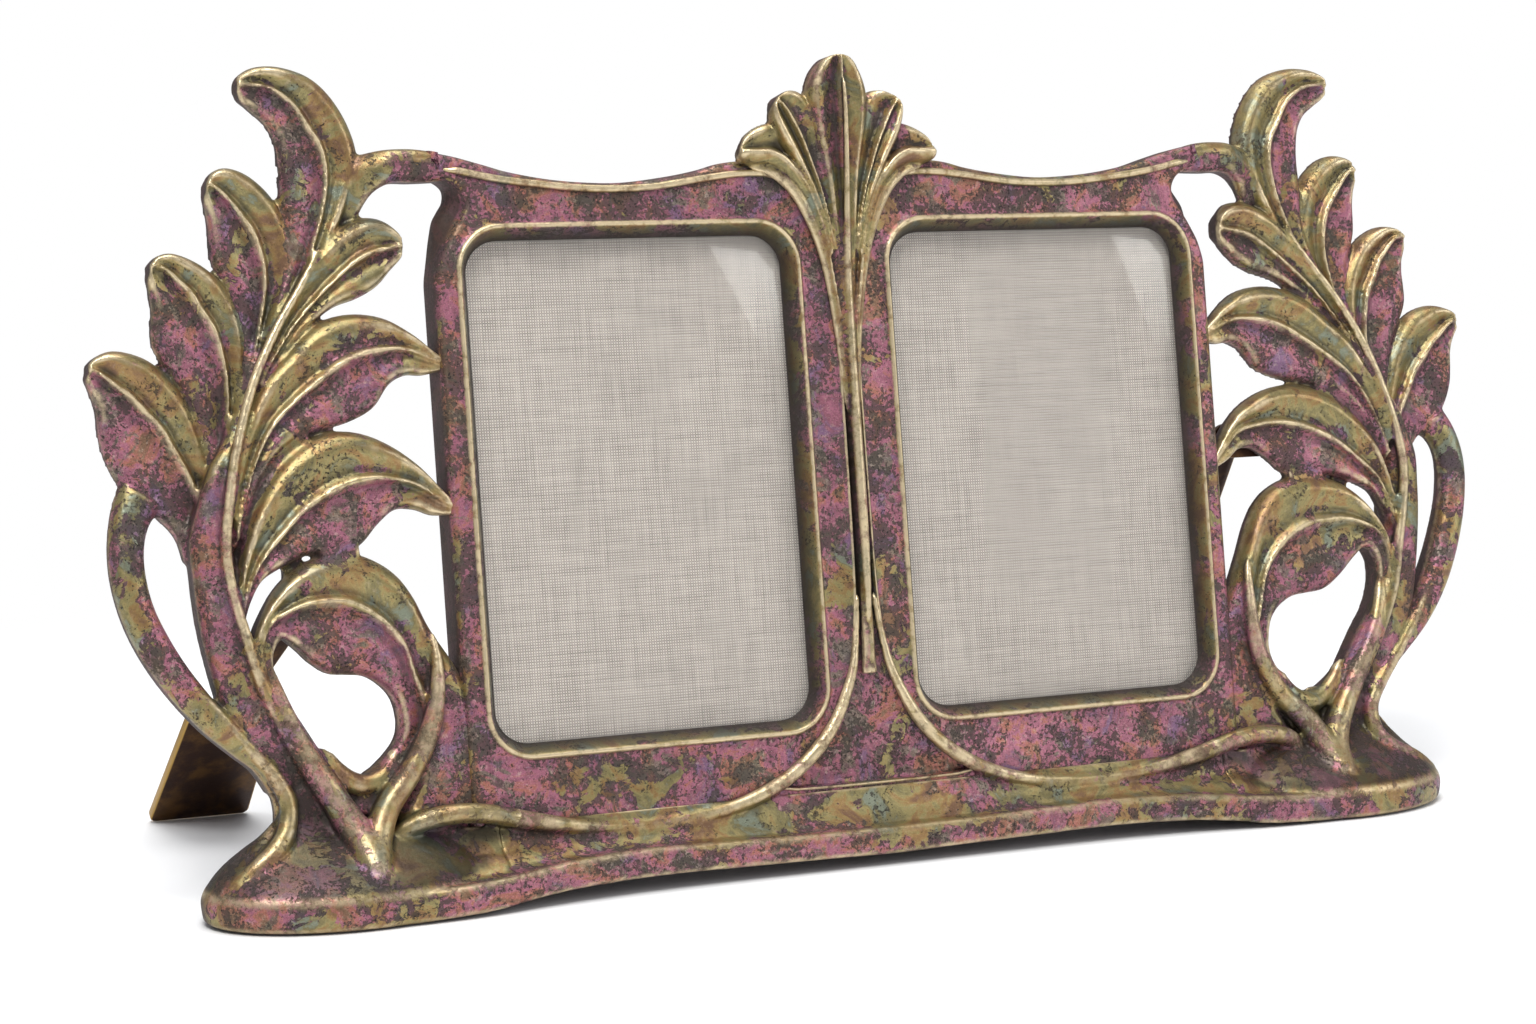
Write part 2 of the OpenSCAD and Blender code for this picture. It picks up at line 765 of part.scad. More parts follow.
// Outline of a leg, hanging from its hinge: eye, slanting shank and wide shoe with cut corners
module leg_outline() {
    step = shoe_x - hinge_x;
    flare = shoe_l / 16;
    corner = leg_t;
    polygon([
        [eye_w / 2, 2 * eye_r],
        [eye_w / 2, -2 * eye_r],
        [step + shank_w / 2, shoe_l - leg_l],
        [step + shoe_top_w / 2, shoe_l - flare - leg_l],
        [step + shoe_w / 2, corner - leg_l],
        [step + shoe_w / 2 - corner, -leg_l],
        [step + shoe_w / 2 - corner, -leg_l - corner],
        [step - shoe_w / 2 + corner, -leg_l - corner],
        [step - shoe_w / 2 + corner, -leg_l],
        [step - shoe_w / 2, corner - leg_l],
        [step - shoe_top_w / 2, shoe_l - flare - leg_l],
        [step - shank_w / 2, shoe_l - leg_l],
        [-eye_w / 2, -2 * eye_r],
        [-eye_w / 2, 2 * eye_r]
    ]);
}

module leg(side) {
    color(bronze)
        at_hinge(side)
            difference() {
                rotate([leg_angle, 0, 0]) {
                    slab(-leg_t / 2, leg_t / 2)
                        leg_outline();
                    cross_rod(eye_r, eye_w / 2);
                }
                cross_rod(pin_r + pin_gap, bracket_half);
                rotate([-lean_angle, 0, 0])
                    translate([-leg_l, bracket_y + gap - pin_y - leg_l, -leg_l / 2])
                        cube([2 * leg_l, leg_l, leg_l]);
                translate([-leg_l, -leg_l, -pin_z - leg_l])
                    cube([2 * leg_l, 3 * leg_l, leg_l]);
            }
}

front_frame();
crest();
wing(-1);  // left_wing
wing(1);  // right_wing
base();
glass(-1);  // left_glass
glass(1);  // right_glass
card(-1);  // left_card
card(1);  // right_card
packing(-1);  // left_packing
packing(1);  // right_packing
back_board(-1);  // left_back_board
back_board(1);  // right_back_board
for (k = [1:4]) {
    turn_button(-1, k);
    turn_button(1, k);
}
turn_button_screws();
leg_bracket(-1);  // left_leg_bracket
leg_bracket(1);  // right_leg_bracket
bracket_screws();
leg_pin(-1);  // left_leg_pin
leg_pin(1);  // right_leg_pin
leg(-1);  // left_leg
leg(1);  // right_leg
foot_pads();
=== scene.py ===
"""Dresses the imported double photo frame: cast leaf wings, palmette crest, patina, linen and glass.

Lengths are millimetres on the leaning face until a mesh is made: u runs across, v up the face and
w back from the window lips. face_to_world() turns them into metres in the part's frame.
"""

import logging
import math
from collections.abc import Callable
from dataclasses import dataclass, field, replace
from enum import Enum

import bpy
import numpy as np
from mathutils import Matrix, Vector
from mathutils.geometry import tessellate_polygon
from mathutils.kdtree import KDTree


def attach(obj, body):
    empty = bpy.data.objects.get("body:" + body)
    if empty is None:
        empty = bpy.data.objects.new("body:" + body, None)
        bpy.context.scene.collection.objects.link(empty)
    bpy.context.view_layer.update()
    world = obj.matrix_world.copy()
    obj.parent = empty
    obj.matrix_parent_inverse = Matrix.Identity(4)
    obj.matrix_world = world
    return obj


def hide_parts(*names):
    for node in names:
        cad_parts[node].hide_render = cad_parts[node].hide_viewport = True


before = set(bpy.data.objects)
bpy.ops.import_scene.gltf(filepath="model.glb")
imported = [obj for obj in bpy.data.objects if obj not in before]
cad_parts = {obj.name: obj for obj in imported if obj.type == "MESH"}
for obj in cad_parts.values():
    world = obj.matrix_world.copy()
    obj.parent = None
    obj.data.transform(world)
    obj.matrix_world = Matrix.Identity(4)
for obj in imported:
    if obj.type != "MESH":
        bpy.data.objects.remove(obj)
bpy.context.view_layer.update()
log = logging.getLogger("scene")

Place = Callable[[float, float], tuple[float, float]]
Value = bpy.types.NodeSocket | float | tuple
TRIANGLE_LIMIT = 192000


@dataclass(frozen=True)
class Sizes:
    """Sizes shared with the part's source, in millimetres and degrees."""

    lean: float = 9.1
    window_w: float = 86.0
    window_h: float = 122.0
    window_x: float = 56.0
    window_v: float = 34.0
    top_rail: float = 10.5
    frame_rise: float = 14.0
    side_x: float = 105.5
    wing_w: float = 83.0
    wing_h: float = 195.5
    crest_half: float = 27.0
    crest_rise: float = 40.5
    foot_x: float = 134.0
    foot_rx: float = 34.0
    foot_ry: float = 20.0
    foot_front: float = 12.0
    neck_z: float = 21.0
    ridge_z: float = 7.6
    hinge_x: float = 118.0
    hinge_v: float = 98.0
    pin_y: float = 13.0
    leg_angle: float = 45.0
    leg_t: float = 2.5

    @property
    def tilt(self) -> float:
        """Lean of the face in radians."""
        return math.radians(self.lean)

    @property
    def window_top(self) -> float:
        """Place of the windows' upper edge up the face."""
        return self.window_v + self.window_h

    @property
    def pin_world(self) -> tuple[float, float]:
        """Depth and height of the hinge pins, before the origin's shift."""
        return self.section(self.hinge_v, self.pin_y)

    @property
    def origin_y(self) -> float:
        """Depth of the part's origin, counted from the lips at the floor.

        Returns:
            Millimetres.
        """
        a = math.radians(self.leg_angle)
        y, z = self.pin_world
        return (y + z * math.tan(a) + self.leg_t / 2 / math.cos(a) - self.foot_front) / 2

    def section(self, v: float, w: float) -> tuple[float, float]:
        """Turns a point of the leaning face into depth and height, before the origin's shift.

        Args:
            v: Place up the face.
            w: Depth behind the lips.

        Returns:
            Depth and height, with y counted from the lips at the floor.
        """
        sin, cos = math.sin(self.tilt), math.cos(self.tilt)
        return v * sin + w * cos, v * cos - w * sin


SIZES = Sizes()


class Side(Enum):
    """Half of the frame, with the sign of its X."""

    LEFT = -1
    RIGHT = 1

    @property
    def word(self) -> str:
        """Name of the half in the names of pieces."""
        return self.name.lower()


class Profile(Enum):
    """Cross-section of one half of a leaf, as (share from the rib to the edge, fall) pairs."""

    ROLLED = ((0, 0), (0.07, 0.28), (0.16, 0.72), (0.32, 0.6), (0.52, 0.2), (0.7, 0.1), (0.86, 0.42),
              (0.95, 0.9), (1, 1.4))
    HOLLOW = ((0, 0), (0.07, 0.3), (0.17, 0.85), (0.36, 0.82), (0.56, 0.6), (0.74, 0.52), (0.88, 0.72),
              (0.95, 1.0), (1, 1.4))
    ROUND = ((0, 0), (0.2, 0.03), (0.4, 0.12), (0.58, 0.28), (0.74, 0.5), (0.85, 0.8), (0.92, 1.05),
             (0.97, 1.3), (1, 1.6))
    FLAT = ((0, 0), (0.1, 0.1), (0.25, 0.2), (0.4, 0.28), (0.55, 0.32), (0.7, 0.34), (0.82, 0.34),
            (0.92, 0.34), (1, 0.36))


# Points and curves


def face_to_world(points: np.ndarray) -> np.ndarray:
    """Turns (u, w, v) millimetres on the leaning face into metres in the part's frame.

    Args:
        points: Array of shape (n, 3) holding u, w and v.

    Returns:
        Array of the same shape with X, Y and Z.
    """
    y, z = SIZES.section(points[:, 2], points[:, 1])
    return np.stack([points[:, 0], y - SIZES.origin_y, z], axis=1) / 1000


def floor_to_world(points: np.ndarray) -> np.ndarray:
    """Turns (x, y, z) millimetres with y counted from the lips at the floor into metres."""
    return (points - np.array([0.0, SIZES.origin_y, 0.0])) / 1000


def flat_ring(loop: np.ndarray, w: float) -> np.ndarray:
    """World ring of a (u, v) loop at one depth behind the lips."""
    return face_to_world(np.stack([loop[:, 0], np.full(len(loop), w), loop[:, 1]], axis=1))


def bell(x: float, centre: float, width: float, power: int = 2) -> float:
    """Bump of height 1 at its centre, which falls off over its width."""
    return math.exp(-((x - centre) / width) ** power)


def between(x: float, places: tuple, values: tuple = (0, 1)) -> float:
    """Number at x on the straight lines through (place, value) pairs, held beyond their ends."""
    return float(np.interp(x, places, values))


def refine(rows: np.ndarray, steps: int) -> np.ndarray:
    """Puts a smooth curve through rows of numbers.

    Args:
        rows: Array of shape (n, k): one row per given station.
        steps: New stations for each gap between two rows.

    Returns:
        Array with (n - 1) * steps + 1 rows that passes through every given row.
    """
    rows = np.asarray(rows, float)
    padded = np.vstack([2 * rows[0] - rows[1], rows, 2 * rows[-1] - rows[-2]])
    out = []
    for i in range(1, len(padded) - 2):
        p0, p1, p2, p3 = padded[i - 1:i + 3]
        for step in range(steps):
            t = step / steps
            out.append(0.5 * (
                2 * p1 + (p2 - p0) * t + (2 * p0 - 5 * p1 + 4 * p2 - p3) * t ** 2
                + (3 * p1 - p0 - 3 * p2 + p3) * t ** 3
            ))
    out.append(rows[-1])
    return np.array(out)


def window_loop(side: Side, grow: float, r: float, per_corner: int = 12) -> np.ndarray:
    """Outline of a window, counterclockwise from its right side.

    Args:
        side: Half of the frame.
        grow: Growth past the window on every side.
        r: Radius of the corners.
        per_corner: Straight steps of each corner.

    Returns:
        Array of (u, v) rows.
    """
    half_w, half_h = SIZES.window_w / 2 + grow - r, SIZES.window_h / 2 + grow - r
    middle_v = SIZES.window_v + SIZES.window_h / 2
    out = []
    for k, (su, sv) in enumerate(((1, 1), (-1, 1), (-1, -1), (1, -1))):
        for step in range(per_corner + 1):
            a = math.pi / 2 * (k + step / per_corner)
            out.append((side.value * SIZES.window_x + su * half_w + r * math.cos(a),
                        middle_v + sv * half_h + r * math.sin(a)))
    return np.array(out)


# Meshes


@dataclass
class Tone:
    """What a vertex tells the patina, each 0 to 1: gold line (rubbed gold with a painted highlight), rolled
    gold zone, painted shade in grooves and hollows, and painted shade on dark sides.
    """

    line: float = 0.0
    zone: float = 0.0
    painted_shade: float = 0.0
    # side: painted shade on walls and faces turned away from the front
    side: float = 0.0

    def row(self) -> tuple[float, float, float, float]:
        """The four numbers in the order of the attribute's channels."""
        return (self.line, self.zone, self.painted_shade, self.side)


@dataclass
class Body:
    """Closed surfaces gathered for one piece, with a tone for each vertex."""

    points: list = field(default_factory=list)
    tones: list = field(default_factory=list)
    faces: list = field(default_factory=list)

    def add_points(self, world: np.ndarray, tones: np.ndarray) -> int:
        """Adds points with their tones.

        Args:
            world: World points.
            tones: Tone row of each point.

        Returns:
            Index of the first new vertex.
        """
        start = len(self.points)
        self.points.extend(map(tuple, world))
        self.tones.extend(map(tuple, tones))
        return start

    def add_loft(self, rings: list[np.ndarray], tones: list[np.ndarray], caps: bool = True) -> list[int]:
        """Joins closed rings of equal length, and closes the first and last with a face.

        Args:
            rings: World points of each ring.
            tones: Tone rows of each ring.
            caps: Whether the two ends are closed.

        Returns:
            The index of each ring's first vertex.
        """
        n = len(rings[0])
        starts = [self.add_points(r, t) for r, t in zip(rings, tones)]
        for a, b in zip(starts[:-1], starts[1:]):
            for j in range(n):
                k = (j + 1) % n
                self.faces.append((a + j, b + j, b + k, a + k))
        if caps:
            self.faces.append(tuple(starts[0] + j for j in range(n)))
            self.faces.append(tuple(starts[-1] + j for j in reversed(range(n))))
        return starts

    def to_object(self, name: str) -> bpy.types.Object:
        """Makes the mesh, with its normals outward and its tones in the attribute 'tone'.

        Args:
            name: Name of the object.

        Returns:
            The object.
        """
        mesh = bpy.data.meshes.new(name)
        mesh.from_pydata(self.points, [], self.faces)
        mesh.validate()
        obj = bpy.data.objects.new(name, mesh)
        bpy.context.scene.collection.objects.link(obj)
        outward(obj)
        set_tones(obj, np.array(self.tones))
        return obj


def select_only(obj: bpy.types.Object) -> None:
    """Makes one object the only selected and active one.

    Args:
        obj: Mesh object.
    """
    bpy.ops.object.select_all(action="DESELECT")
    obj.select_set(True)
    bpy.context.view_layer.objects.active = obj


def outward(obj: bpy.types.Object) -> None:
    """Turns every closed surface of an object outward.

    Args:
        obj: Mesh object.
    """
    select_only(obj)
    bpy.ops.object.mode_set(mode="EDIT")
    bpy.ops.mesh.select_all(action="SELECT")
    bpy.ops.mesh.normals_make_consistent(inside=False)
    bpy.ops.object.mode_set(mode="OBJECT")


def apply_modifiers(obj: bpy.types.Object) -> None:
    """Applies the modifiers of an object in their order.

    Args:
        obj: Mesh object.
    """
    select_only(obj)
    for modifier in list(obj.modifiers):
        bpy.ops.object.modifier_apply(modifier=modifier.name)


def coords(obj: bpy.types.Object) -> np.ndarray:
    """Vertex positions of an object, in metres.

    Args:
        obj: Mesh object.

    Returns:
        Array of shape (n, 3).
    """
    flat = np.empty(len(obj.data.vertices) * 3)
    obj.data.vertices.foreach_get("co", flat)
    return flat.reshape(-1, 3)


def normals(obj: bpy.types.Object) -> np.ndarray:
    """Vertex normals of an object.

    Args:
        obj: Mesh object.

    Returns:
        Array of shape (n, 3).
    """
    flat = np.empty(len(obj.data.vertices) * 3)
    obj.data.vertex_normals.foreach_get("vector", flat)
    return flat.reshape(-1, 3)


def set_tones(obj: bpy.types.Object, tones: np.ndarray) -> None:
    """Stores tone rows of (line, zone, painted shade of grooves, painted shade of sides) as the attribute
    'tone'.
    """
    layer = obj.data.attributes.get("tone") or obj.data.attributes.new("tone", "FLOAT_COLOR", "POINT")
    layer.data.foreach_set("color", np.clip(tones, 0, 1).astype(np.float32).ravel())


def smooth_field(obj: bpy.types.Object, values: np.ndarray, rounds: int) -> np.ndarray:
    """Averages per-vertex values over the mesh's edges.

    Args:
        obj: Mesh object.
        values: One row for each vertex.
        rounds: Times that each vertex is averaged with its neighbours.

    Returns:
        Array of the same shape.
    """
    edges = np.empty(len(obj.data.edges) * 2, dtype=np.int64)
    obj.data.edges.foreach_get("vertices", edges)
    edges = edges.reshape(-1, 2)
    count = np.bincount(edges.ravel(), minlength=len(values)).astype(float)
    count = np.maximum(count, 1)[:, None]
    values = values.copy()
    for _ in range(rounds):
        total = np.zeros_like(values)
        np.add.at(total, edges[:, 0], values[edges[:, 1]])
        np.add.at(total, edges[:, 1], values[edges[:, 0]])
        values = 0.35 * values + 0.65 * total / count
    return values


def hand_over(obj: bpy.types.Object, body: str, node: str) -> bpy.types.Object:
    """Rides a finished piece on its body, hides the node that it stands for and logs it.

    Args:
        obj: Finished piece.
        body: Body that moves it.
        node: Node of the part that the piece stands for.

    Returns:
        The same object.
    """
    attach(obj, body)
    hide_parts(node)
    log.info("%s: %d faces, rides %s, for %s", obj.name, len(obj.data.polygons), body, node)
    return obj


@dataclass(frozen=True)
class Relief:
    """How a casting's own relief sets its tones: rubbed gold with a painted highlight on ridges that face
    the front, painted shade in creases and hollows and on sides turned away from the front.

    Rounds are of smoothing at the grain voxel. Each pair is a start and a length: millimetres for
    ridge, cut and valley, and the normal's share toward the front for to_front and to_side.
    """

    voxel: float = 0.54
    fine_rounds: int = 14
    broad_rounds: int = 70
    ridge: tuple[float, float] = (0.1, 0.22)
    cut: tuple[float, float] = (0.06, 0.36)
    valley: tuple[float, float] = (0.18, 0.85)
    most: float = 0.9
    deepest: float = 0.85
    to_front: tuple[float, float] = (-0.25, 0.4)
    to_side: tuple[float, float] = (-0.4, 0.5)
    seam_reach: float = 3.0
    seam_top: float = 30.0
    kept_line: float = 0.8
    dull_line: float = 0.65
    dull_zone: float = 0.6

    def tones(self, obj: bpy.types.Object, tones: np.ndarray, voxel: float, seams: tuple) -> np.ndarray:
        """Works the relief into tone rows.

        Args:
            obj: Fused casting.
            tones: Tone rows taken from its surfaces.
            voxel: Grain of the casting.
            seams: Places in X near the floor where no relief is read.

        Returns:
            Tone rows with ridges rubbed to gold and given a painted highlight, painted shade in grooves and
            valleys, and painted shade on sides.
        """
        points, outward_of = coords(obj), normals(obj)
        grain = (self.voxel / voxel) ** 2

        def height_over(rounds: int) -> np.ndarray:
            """Millimetres of each vertex over the surface that some rounds of smoothing leave."""
            return ((points - smooth_field(obj, points, round(rounds * grain))) * outward_of).sum(1) * 1000

        def share(amount: np.ndarray, span: tuple[float, float], most: float = 1) -> np.ndarray:
            """Share of the way through a span, given as its start and its length."""
            return np.clip((amount - span[0]) / span[1], 0, most)

        fine = smooth_field(obj, height_over(self.fine_rounds)[:, None], 1)[:, 0]
        # Broad hollows: share of painted shade
        hollow = share(-height_over(self.broad_rounds), self.valley, self.deepest)
        facing = outward_of @ np.array([0, -math.cos(SIZES.tilt), math.sin(SIZES.tilt)])
        x, z = points[:, 0] * 1000, points[:, 2] * 1000
        for seam in seams:
            fine = np.where((np.abs(x - seam) < self.seam_reach) & (z < self.seam_top), 0, fine)
        # Rubbed gold with a painted highlight on ridges that face the front, painted shade in creases and
        # hollows, and painted shade on sides turned away from the front
        ridge = share(fine, self.ridge, self.most) * share(facing, self.to_front)
        tones[:, 0] = np.maximum(tones[:, 0] * self.kept_line, ridge)
        tones[:, 2] = np.maximum.reduce([tones[:, 2], share(-fine, self.cut, self.most), hollow])
        tones[:, 3] = np.maximum(tones[:, 3], share(-facing, self.to_side))
        # Hollows also dim the gold line and the rolled zone, as painted shade
        tones[:, 0] *= 1 - self.dull_line * hollow
        tones[:, 1] *= 1 - self.dull_zone * hollow
        return smooth_field(obj, tones, 1)


class Casting:
    """One cast piece: overlapping surfaces fused, softened and toned from its own relief."""

    # Gathered vertices that give a point its tone, and the distance in metres at which one rules alone
    neighbours = 3
    at_once = 2e-4

    def __init__(self, name: str, voxel: float, soften: int = 4, seams: tuple[float, ...] = ()) -> None:
        """Starts an empty casting.

        Args:
            name: Name of the piece.
            voxel: Grain of the fused mesh.
            soften: Rounds of smoothing.
            seams: Places in X where another casting meets this one near the floor.
        """
        self.name = name
        self.seams = seams
        self.voxel = voxel
        self.soften = soften
        self.body = Body()

    def build(self) -> bpy.types.Object:
        """Fuses the gathered surfaces, and thins a mesh that is over the limit.

        Returns:
            The finished object, with the attribute 'tone'.
        """
        obj = self.body.to_object(self.name)
        remesh = obj.modifiers.new("fuse", "REMESH")
        remesh.mode = "VOXEL"
        remesh.voxel_size = self.voxel / 1000
        soft = obj.modifiers.new("soften", "SMOOTH")
        soft.factor = 0.5
        soft.iterations = self.soften
        apply_modifiers(obj)
        set_tones(obj, Relief().tones(obj, self._nearest_tones(coords(obj)), self.voxel, self.seams))
        triangles = sum(len(face.vertices) - 2 for face in obj.data.polygons)
        if triangles > TRIANGLE_LIMIT:
            thin = obj.modifiers.new("thin", "DECIMATE")
            thin.ratio = TRIANGLE_LIMIT / triangles
            apply_modifiers(obj)
        select_only(obj)
        bpy.ops.object.shade_smooth()
        log.info("%s: %d triangles fused", self.name, triangles)
        return obj

    def _nearest_tones(self, points: np.ndarray) -> np.ndarray:
        """Blends the tones of the gathered vertices nearest to each point.

        Args:
            points: Vertex positions of the fused mesh.

        Returns:
            Tone row of each point.
        """
        source = np.array(self.body.tones)
        tree = KDTree(len(source))
        for i, p in enumerate(self.body.points):
            tree.insert(p, i)
        tree.balance()
        tones = np.zeros((len(points), 4))
        for i, p in enumerate(points):
            near = tree.find_n(p, self.neighbours)
            weights = np.array([1 / (d + self.at_once) ** 2 for _, _, d in near])
            tones[i] = (source[[k for _, k, _ in near]] * weights[:, None]).sum(0) / weights.sum()
        return tones


# Leaves, stems and cords


@dataclass
class Leaf:
    """A leaf, lobe or stem between two edges, read as rungs from its tip to its root.

    rows holds shares (first u, first v, second u, second v); ribs the share across each rung at
    which the middle rib lies; first and second the cross-sections on the two sides of the rib.
    """

    rows: tuple
    ribs: tuple
    front: float
    depth: float
    first: Profile = Profile.HOLLOW
    second: Profile = Profile.ROLLED
    crown: float = 2.9
    tip_zone: float = 0.18
    first_zone: float = 0.0
    second_zone: float = 0.9
    rib_line: float = 0.8
    path: tuple = ()
    start: Profile | None = None
    inset: float = 0.1
    grow: float = 0.35
    # Width in millimetres at which the crown is full, and its share on a leaf of no width
    full_width = 14
    least_crown = 0.2
    # Shares across between which the rib stays
    rib_least, rib_most = 0.12, 0.88
    # Share along at which the start profile begins to give way, and the length over which it does
    turn_start, turn_length = 0.16, 0.14
    # Depth of the edges in crowns, and millimetres of the step at the back
    side_fall = 2.3
    back_step = 1.5

    def rings(self, place: Place, steps: int = 7) -> tuple[list, list]:
        """Builds the rings of the leaf.

        Args:
            place: Function from a share pair to (u, v) in millimetres.
            steps: New stations for each gap between two rungs.

        Returns:
            World rings and tone rings.
        """
        ribs = self.ribs if len(self.ribs) == len(self.rows) else np.interp(
            np.linspace(0, 1, len(self.rows)), np.linspace(0, 1, len(self.ribs)), self.ribs)
        rungs = [(*place(*row[:2]), *place(*row[2:]), rib) for row, rib in zip(self.rows, ribs)]
        data = refine(np.array(rungs), steps)
        rings, tones = [], []
        for i, (au, av, bu, bv, rib) in enumerate(data):
            width = max(math.hypot(bu - au, bv - av), 0.05)
            du, dv = (bu - au) / width * self.grow, (bv - av) / width * self.grow
            au, av, bu, bv = au - du, av - dv, bu + du, bv + dv
            crown = self.crown * min(1.0, self.least_crown + width / self.full_width)
            rib = min(max(rib, self.rib_least), self.rib_most)
            section = self._section(i / (len(data) - 1), rib, crown)
            ring = [(au + (bu - au) * s, w, av + (bv - av) * s) for s, w, _ in section]
            rings.append(face_to_world(np.array(ring)))
            tones.append(np.array([tone.row() for _, _, tone in section]))
        return rings, tones

    def _section(self, along: float, rib: float, crown: float) -> list[tuple[float, float, Tone]]:
        """Cross-section at one place of the leaf.

        Args:
            along: Share of the way from the tip to the root.
            rib: Share across at which the rib lies.
            crown: Height of the rib over the edges.

        Returns:
            Rows of share across, depth behind the lips and tone.
        """
        back = self.front + self.depth
        path = np.array(self.path or ((0, self.front), (1, self.front)), float)
        front = between(along, path[:, 0], path[:, 1])
        first, second = np.array(self.first.value), np.array(self.second.value)
        begin = np.array((self.start or self.first).value)
        share = min(1.0, max(0.0, (along - self.turn_start) / self.turn_length))
        fade = share if self.start else 1.0
        tip = max(0.0, 1 - along / self.tip_zone) if self.tip_zone else 0.0
        # The edges' walls carry painted shade, the rib rubbed gold with a painted highlight
        dark, brim = Tone(side=1), Tone(side=1, line=0.1)
        step, drop = (self.inset * 0.15, back - self.back_step), front + crown * self.side_fall
        section = [(self.inset, back, dark), (*step, dark), (0, drop, brim)]
        for x, fall in (begin + (first - begin) * share)[:0:-1]:
            section.append((rib * (1 - x), front + fall * crown, self._tone(x, tip, self.first_zone * fade)))
        section.append((rib, front, Tone(line=self.rib_line, zone=max(tip, 0.5))))
        for x, fall in second[1:]:
            section.append((rib + (1 - rib) * x, front + fall * crown, self._tone(x, tip, self.second_zone)))
        section += [(1, drop, brim), (1 - step[0], step[1], dark), (1 - self.inset, back, dark)]
        return [(s, min(w, back), tone) for s, w, tone in section]

    def _tone(self, x: float, tip: float, zone: float) -> Tone:
        """Tone at a share x between the rib and the edge: rubbed gold with a painted highlight at the edge,
        fold, tip and rib, and painted shade in the valley beside the rib.

        Args:
            x: Share from the rib to the edge.
            tip: How far the leaf's tip is rubbed.
            zone: Rolled gold zone of this side.

        Returns:
            The tone.
        """
        edge, fold, rib = max(0.0, (x - 0.84) / 0.16), 0.6 < x < 0.9, x < 0.08
        line = max(0.5 * edge, 0.25 * zone * fold, 0.55 * tip, 0.5 * rib)
        return Tone(line, max(zone, tip), 0.08 * (0.1 < x < 0.25))


@dataclass
class Cord:
    """A raised line on a casting, as (u, w, v, radius) stations."""

    path: tuple
    flatten: float = 1.0
    # Strength of the rubbed gold and painted highlight on the cord's front, and its rolled gold zone
    line: float = 0.9
    zone: float = 0.6
    # Greatest gap in millimetres between stations, the thinnest radius, and the taper of each end
    station_gap = 0.8
    thinnest = 0.05
    taper = 0.25

    def rings(self, steps: int = 5, sides: int = 12) -> tuple[list, list]:
        """Builds the rings of the cord, tapered and closed at both ends.

        Args:
            steps: Fewest new stations for each gap between two given ones.
            sides: Points of each ring.

        Returns:
            World rings and tone rings.
        """
        path = np.array(self.path, float)
        gap = float(np.linalg.norm(np.diff(path[:, [0, 2]], axis=0), axis=1).max())
        data = refine(path, max(steps, int(gap / self.station_gap)))
        rings, tones = [], []
        for i, (u, w, v, r) in enumerate(data):
            a, b = data[max(i - 1, 0)], data[min(i + 1, len(data) - 1)]
            du, dv = b[0] - a[0], b[2] - a[2]
            length = math.hypot(du, dv) or 1
            nu, nv = -dv / length, du / length
            from_end = min(i, len(data) - 1 - i)
            radius = max(r, self.thinnest) * min(1.0, self.taper + self.taper * from_end)
            ring, tone = [], []
            for angle in (2 * math.pi * j / sides for j in range(sides)):
                across, front = math.cos(angle) * radius, math.sin(angle)
                ring.append((u + nu * across, w - front * radius * self.flatten, v + nv * across))
                # Rubbed gold with a painted highlight on the front of the cord, painted shade on its back
                tone.append(Tone(self.line * max(0.0, front), self.zone, 0.5 * (front < 0.3)).row())
            rings.append(face_to_world(np.array(ring)))
            tones.append(np.array(tone))
        return rings, tones


def mirrored(side: Side, path: tuple, deeper: float = 0.0, thinner: float = 1.0) -> tuple:
    """Puts (u, w, v, radius) stations on one half, set back and thinned by fixed amounts."""
    return tuple((side.value * u, w + deeper, v, r * thinner) for u, w, v, r in path)


def wing_shift(side: Side, x: float, v: float) -> tuple[float, float]:
    """Moves a point of the right wing to where that casting differs from the left one.

    Args:
        side: Half of the frame.
        x: Distance from the middle.
        v: Height up the face.

    Returns:
        The point with the sign of its side.
    """
    if side is Side.LEFT:
        return -x, v
    outer = between(x, (124, 152))
    wide = between(v, (20, 48, 105, 150, 200), (0, 1, 1, 0.55, 0.2)) - 0.4 * bell(v, 25, 7)
    lift = 4.6 * bell(v, 79, 23) - 1.4 * bell(v, 31, 8) - 2.6 * outer * bell(v, 19, 7)
    inner = 2.4 * (1 - outer) * bell(v, 46, 15) * between(x, (108, 116))
    return x + 3.8 * outer * wide - inner, v + lift * between(x, (104, 112))


def wing_place(side: Side) -> Place:
    """Share pairs of a wing to millimetres."""
    return lambda u, v: wing_shift(side, SIZES.side_x + u * SIZES.wing_w, v * SIZES.wing_h)


def crest_place(side: Side) -> Place:
    """Share pairs of the crest to millimetres."""
    return lambda u, v: (side.value * u * SIZES.crest_half, SIZES.window_top + v * SIZES.crest_rise)


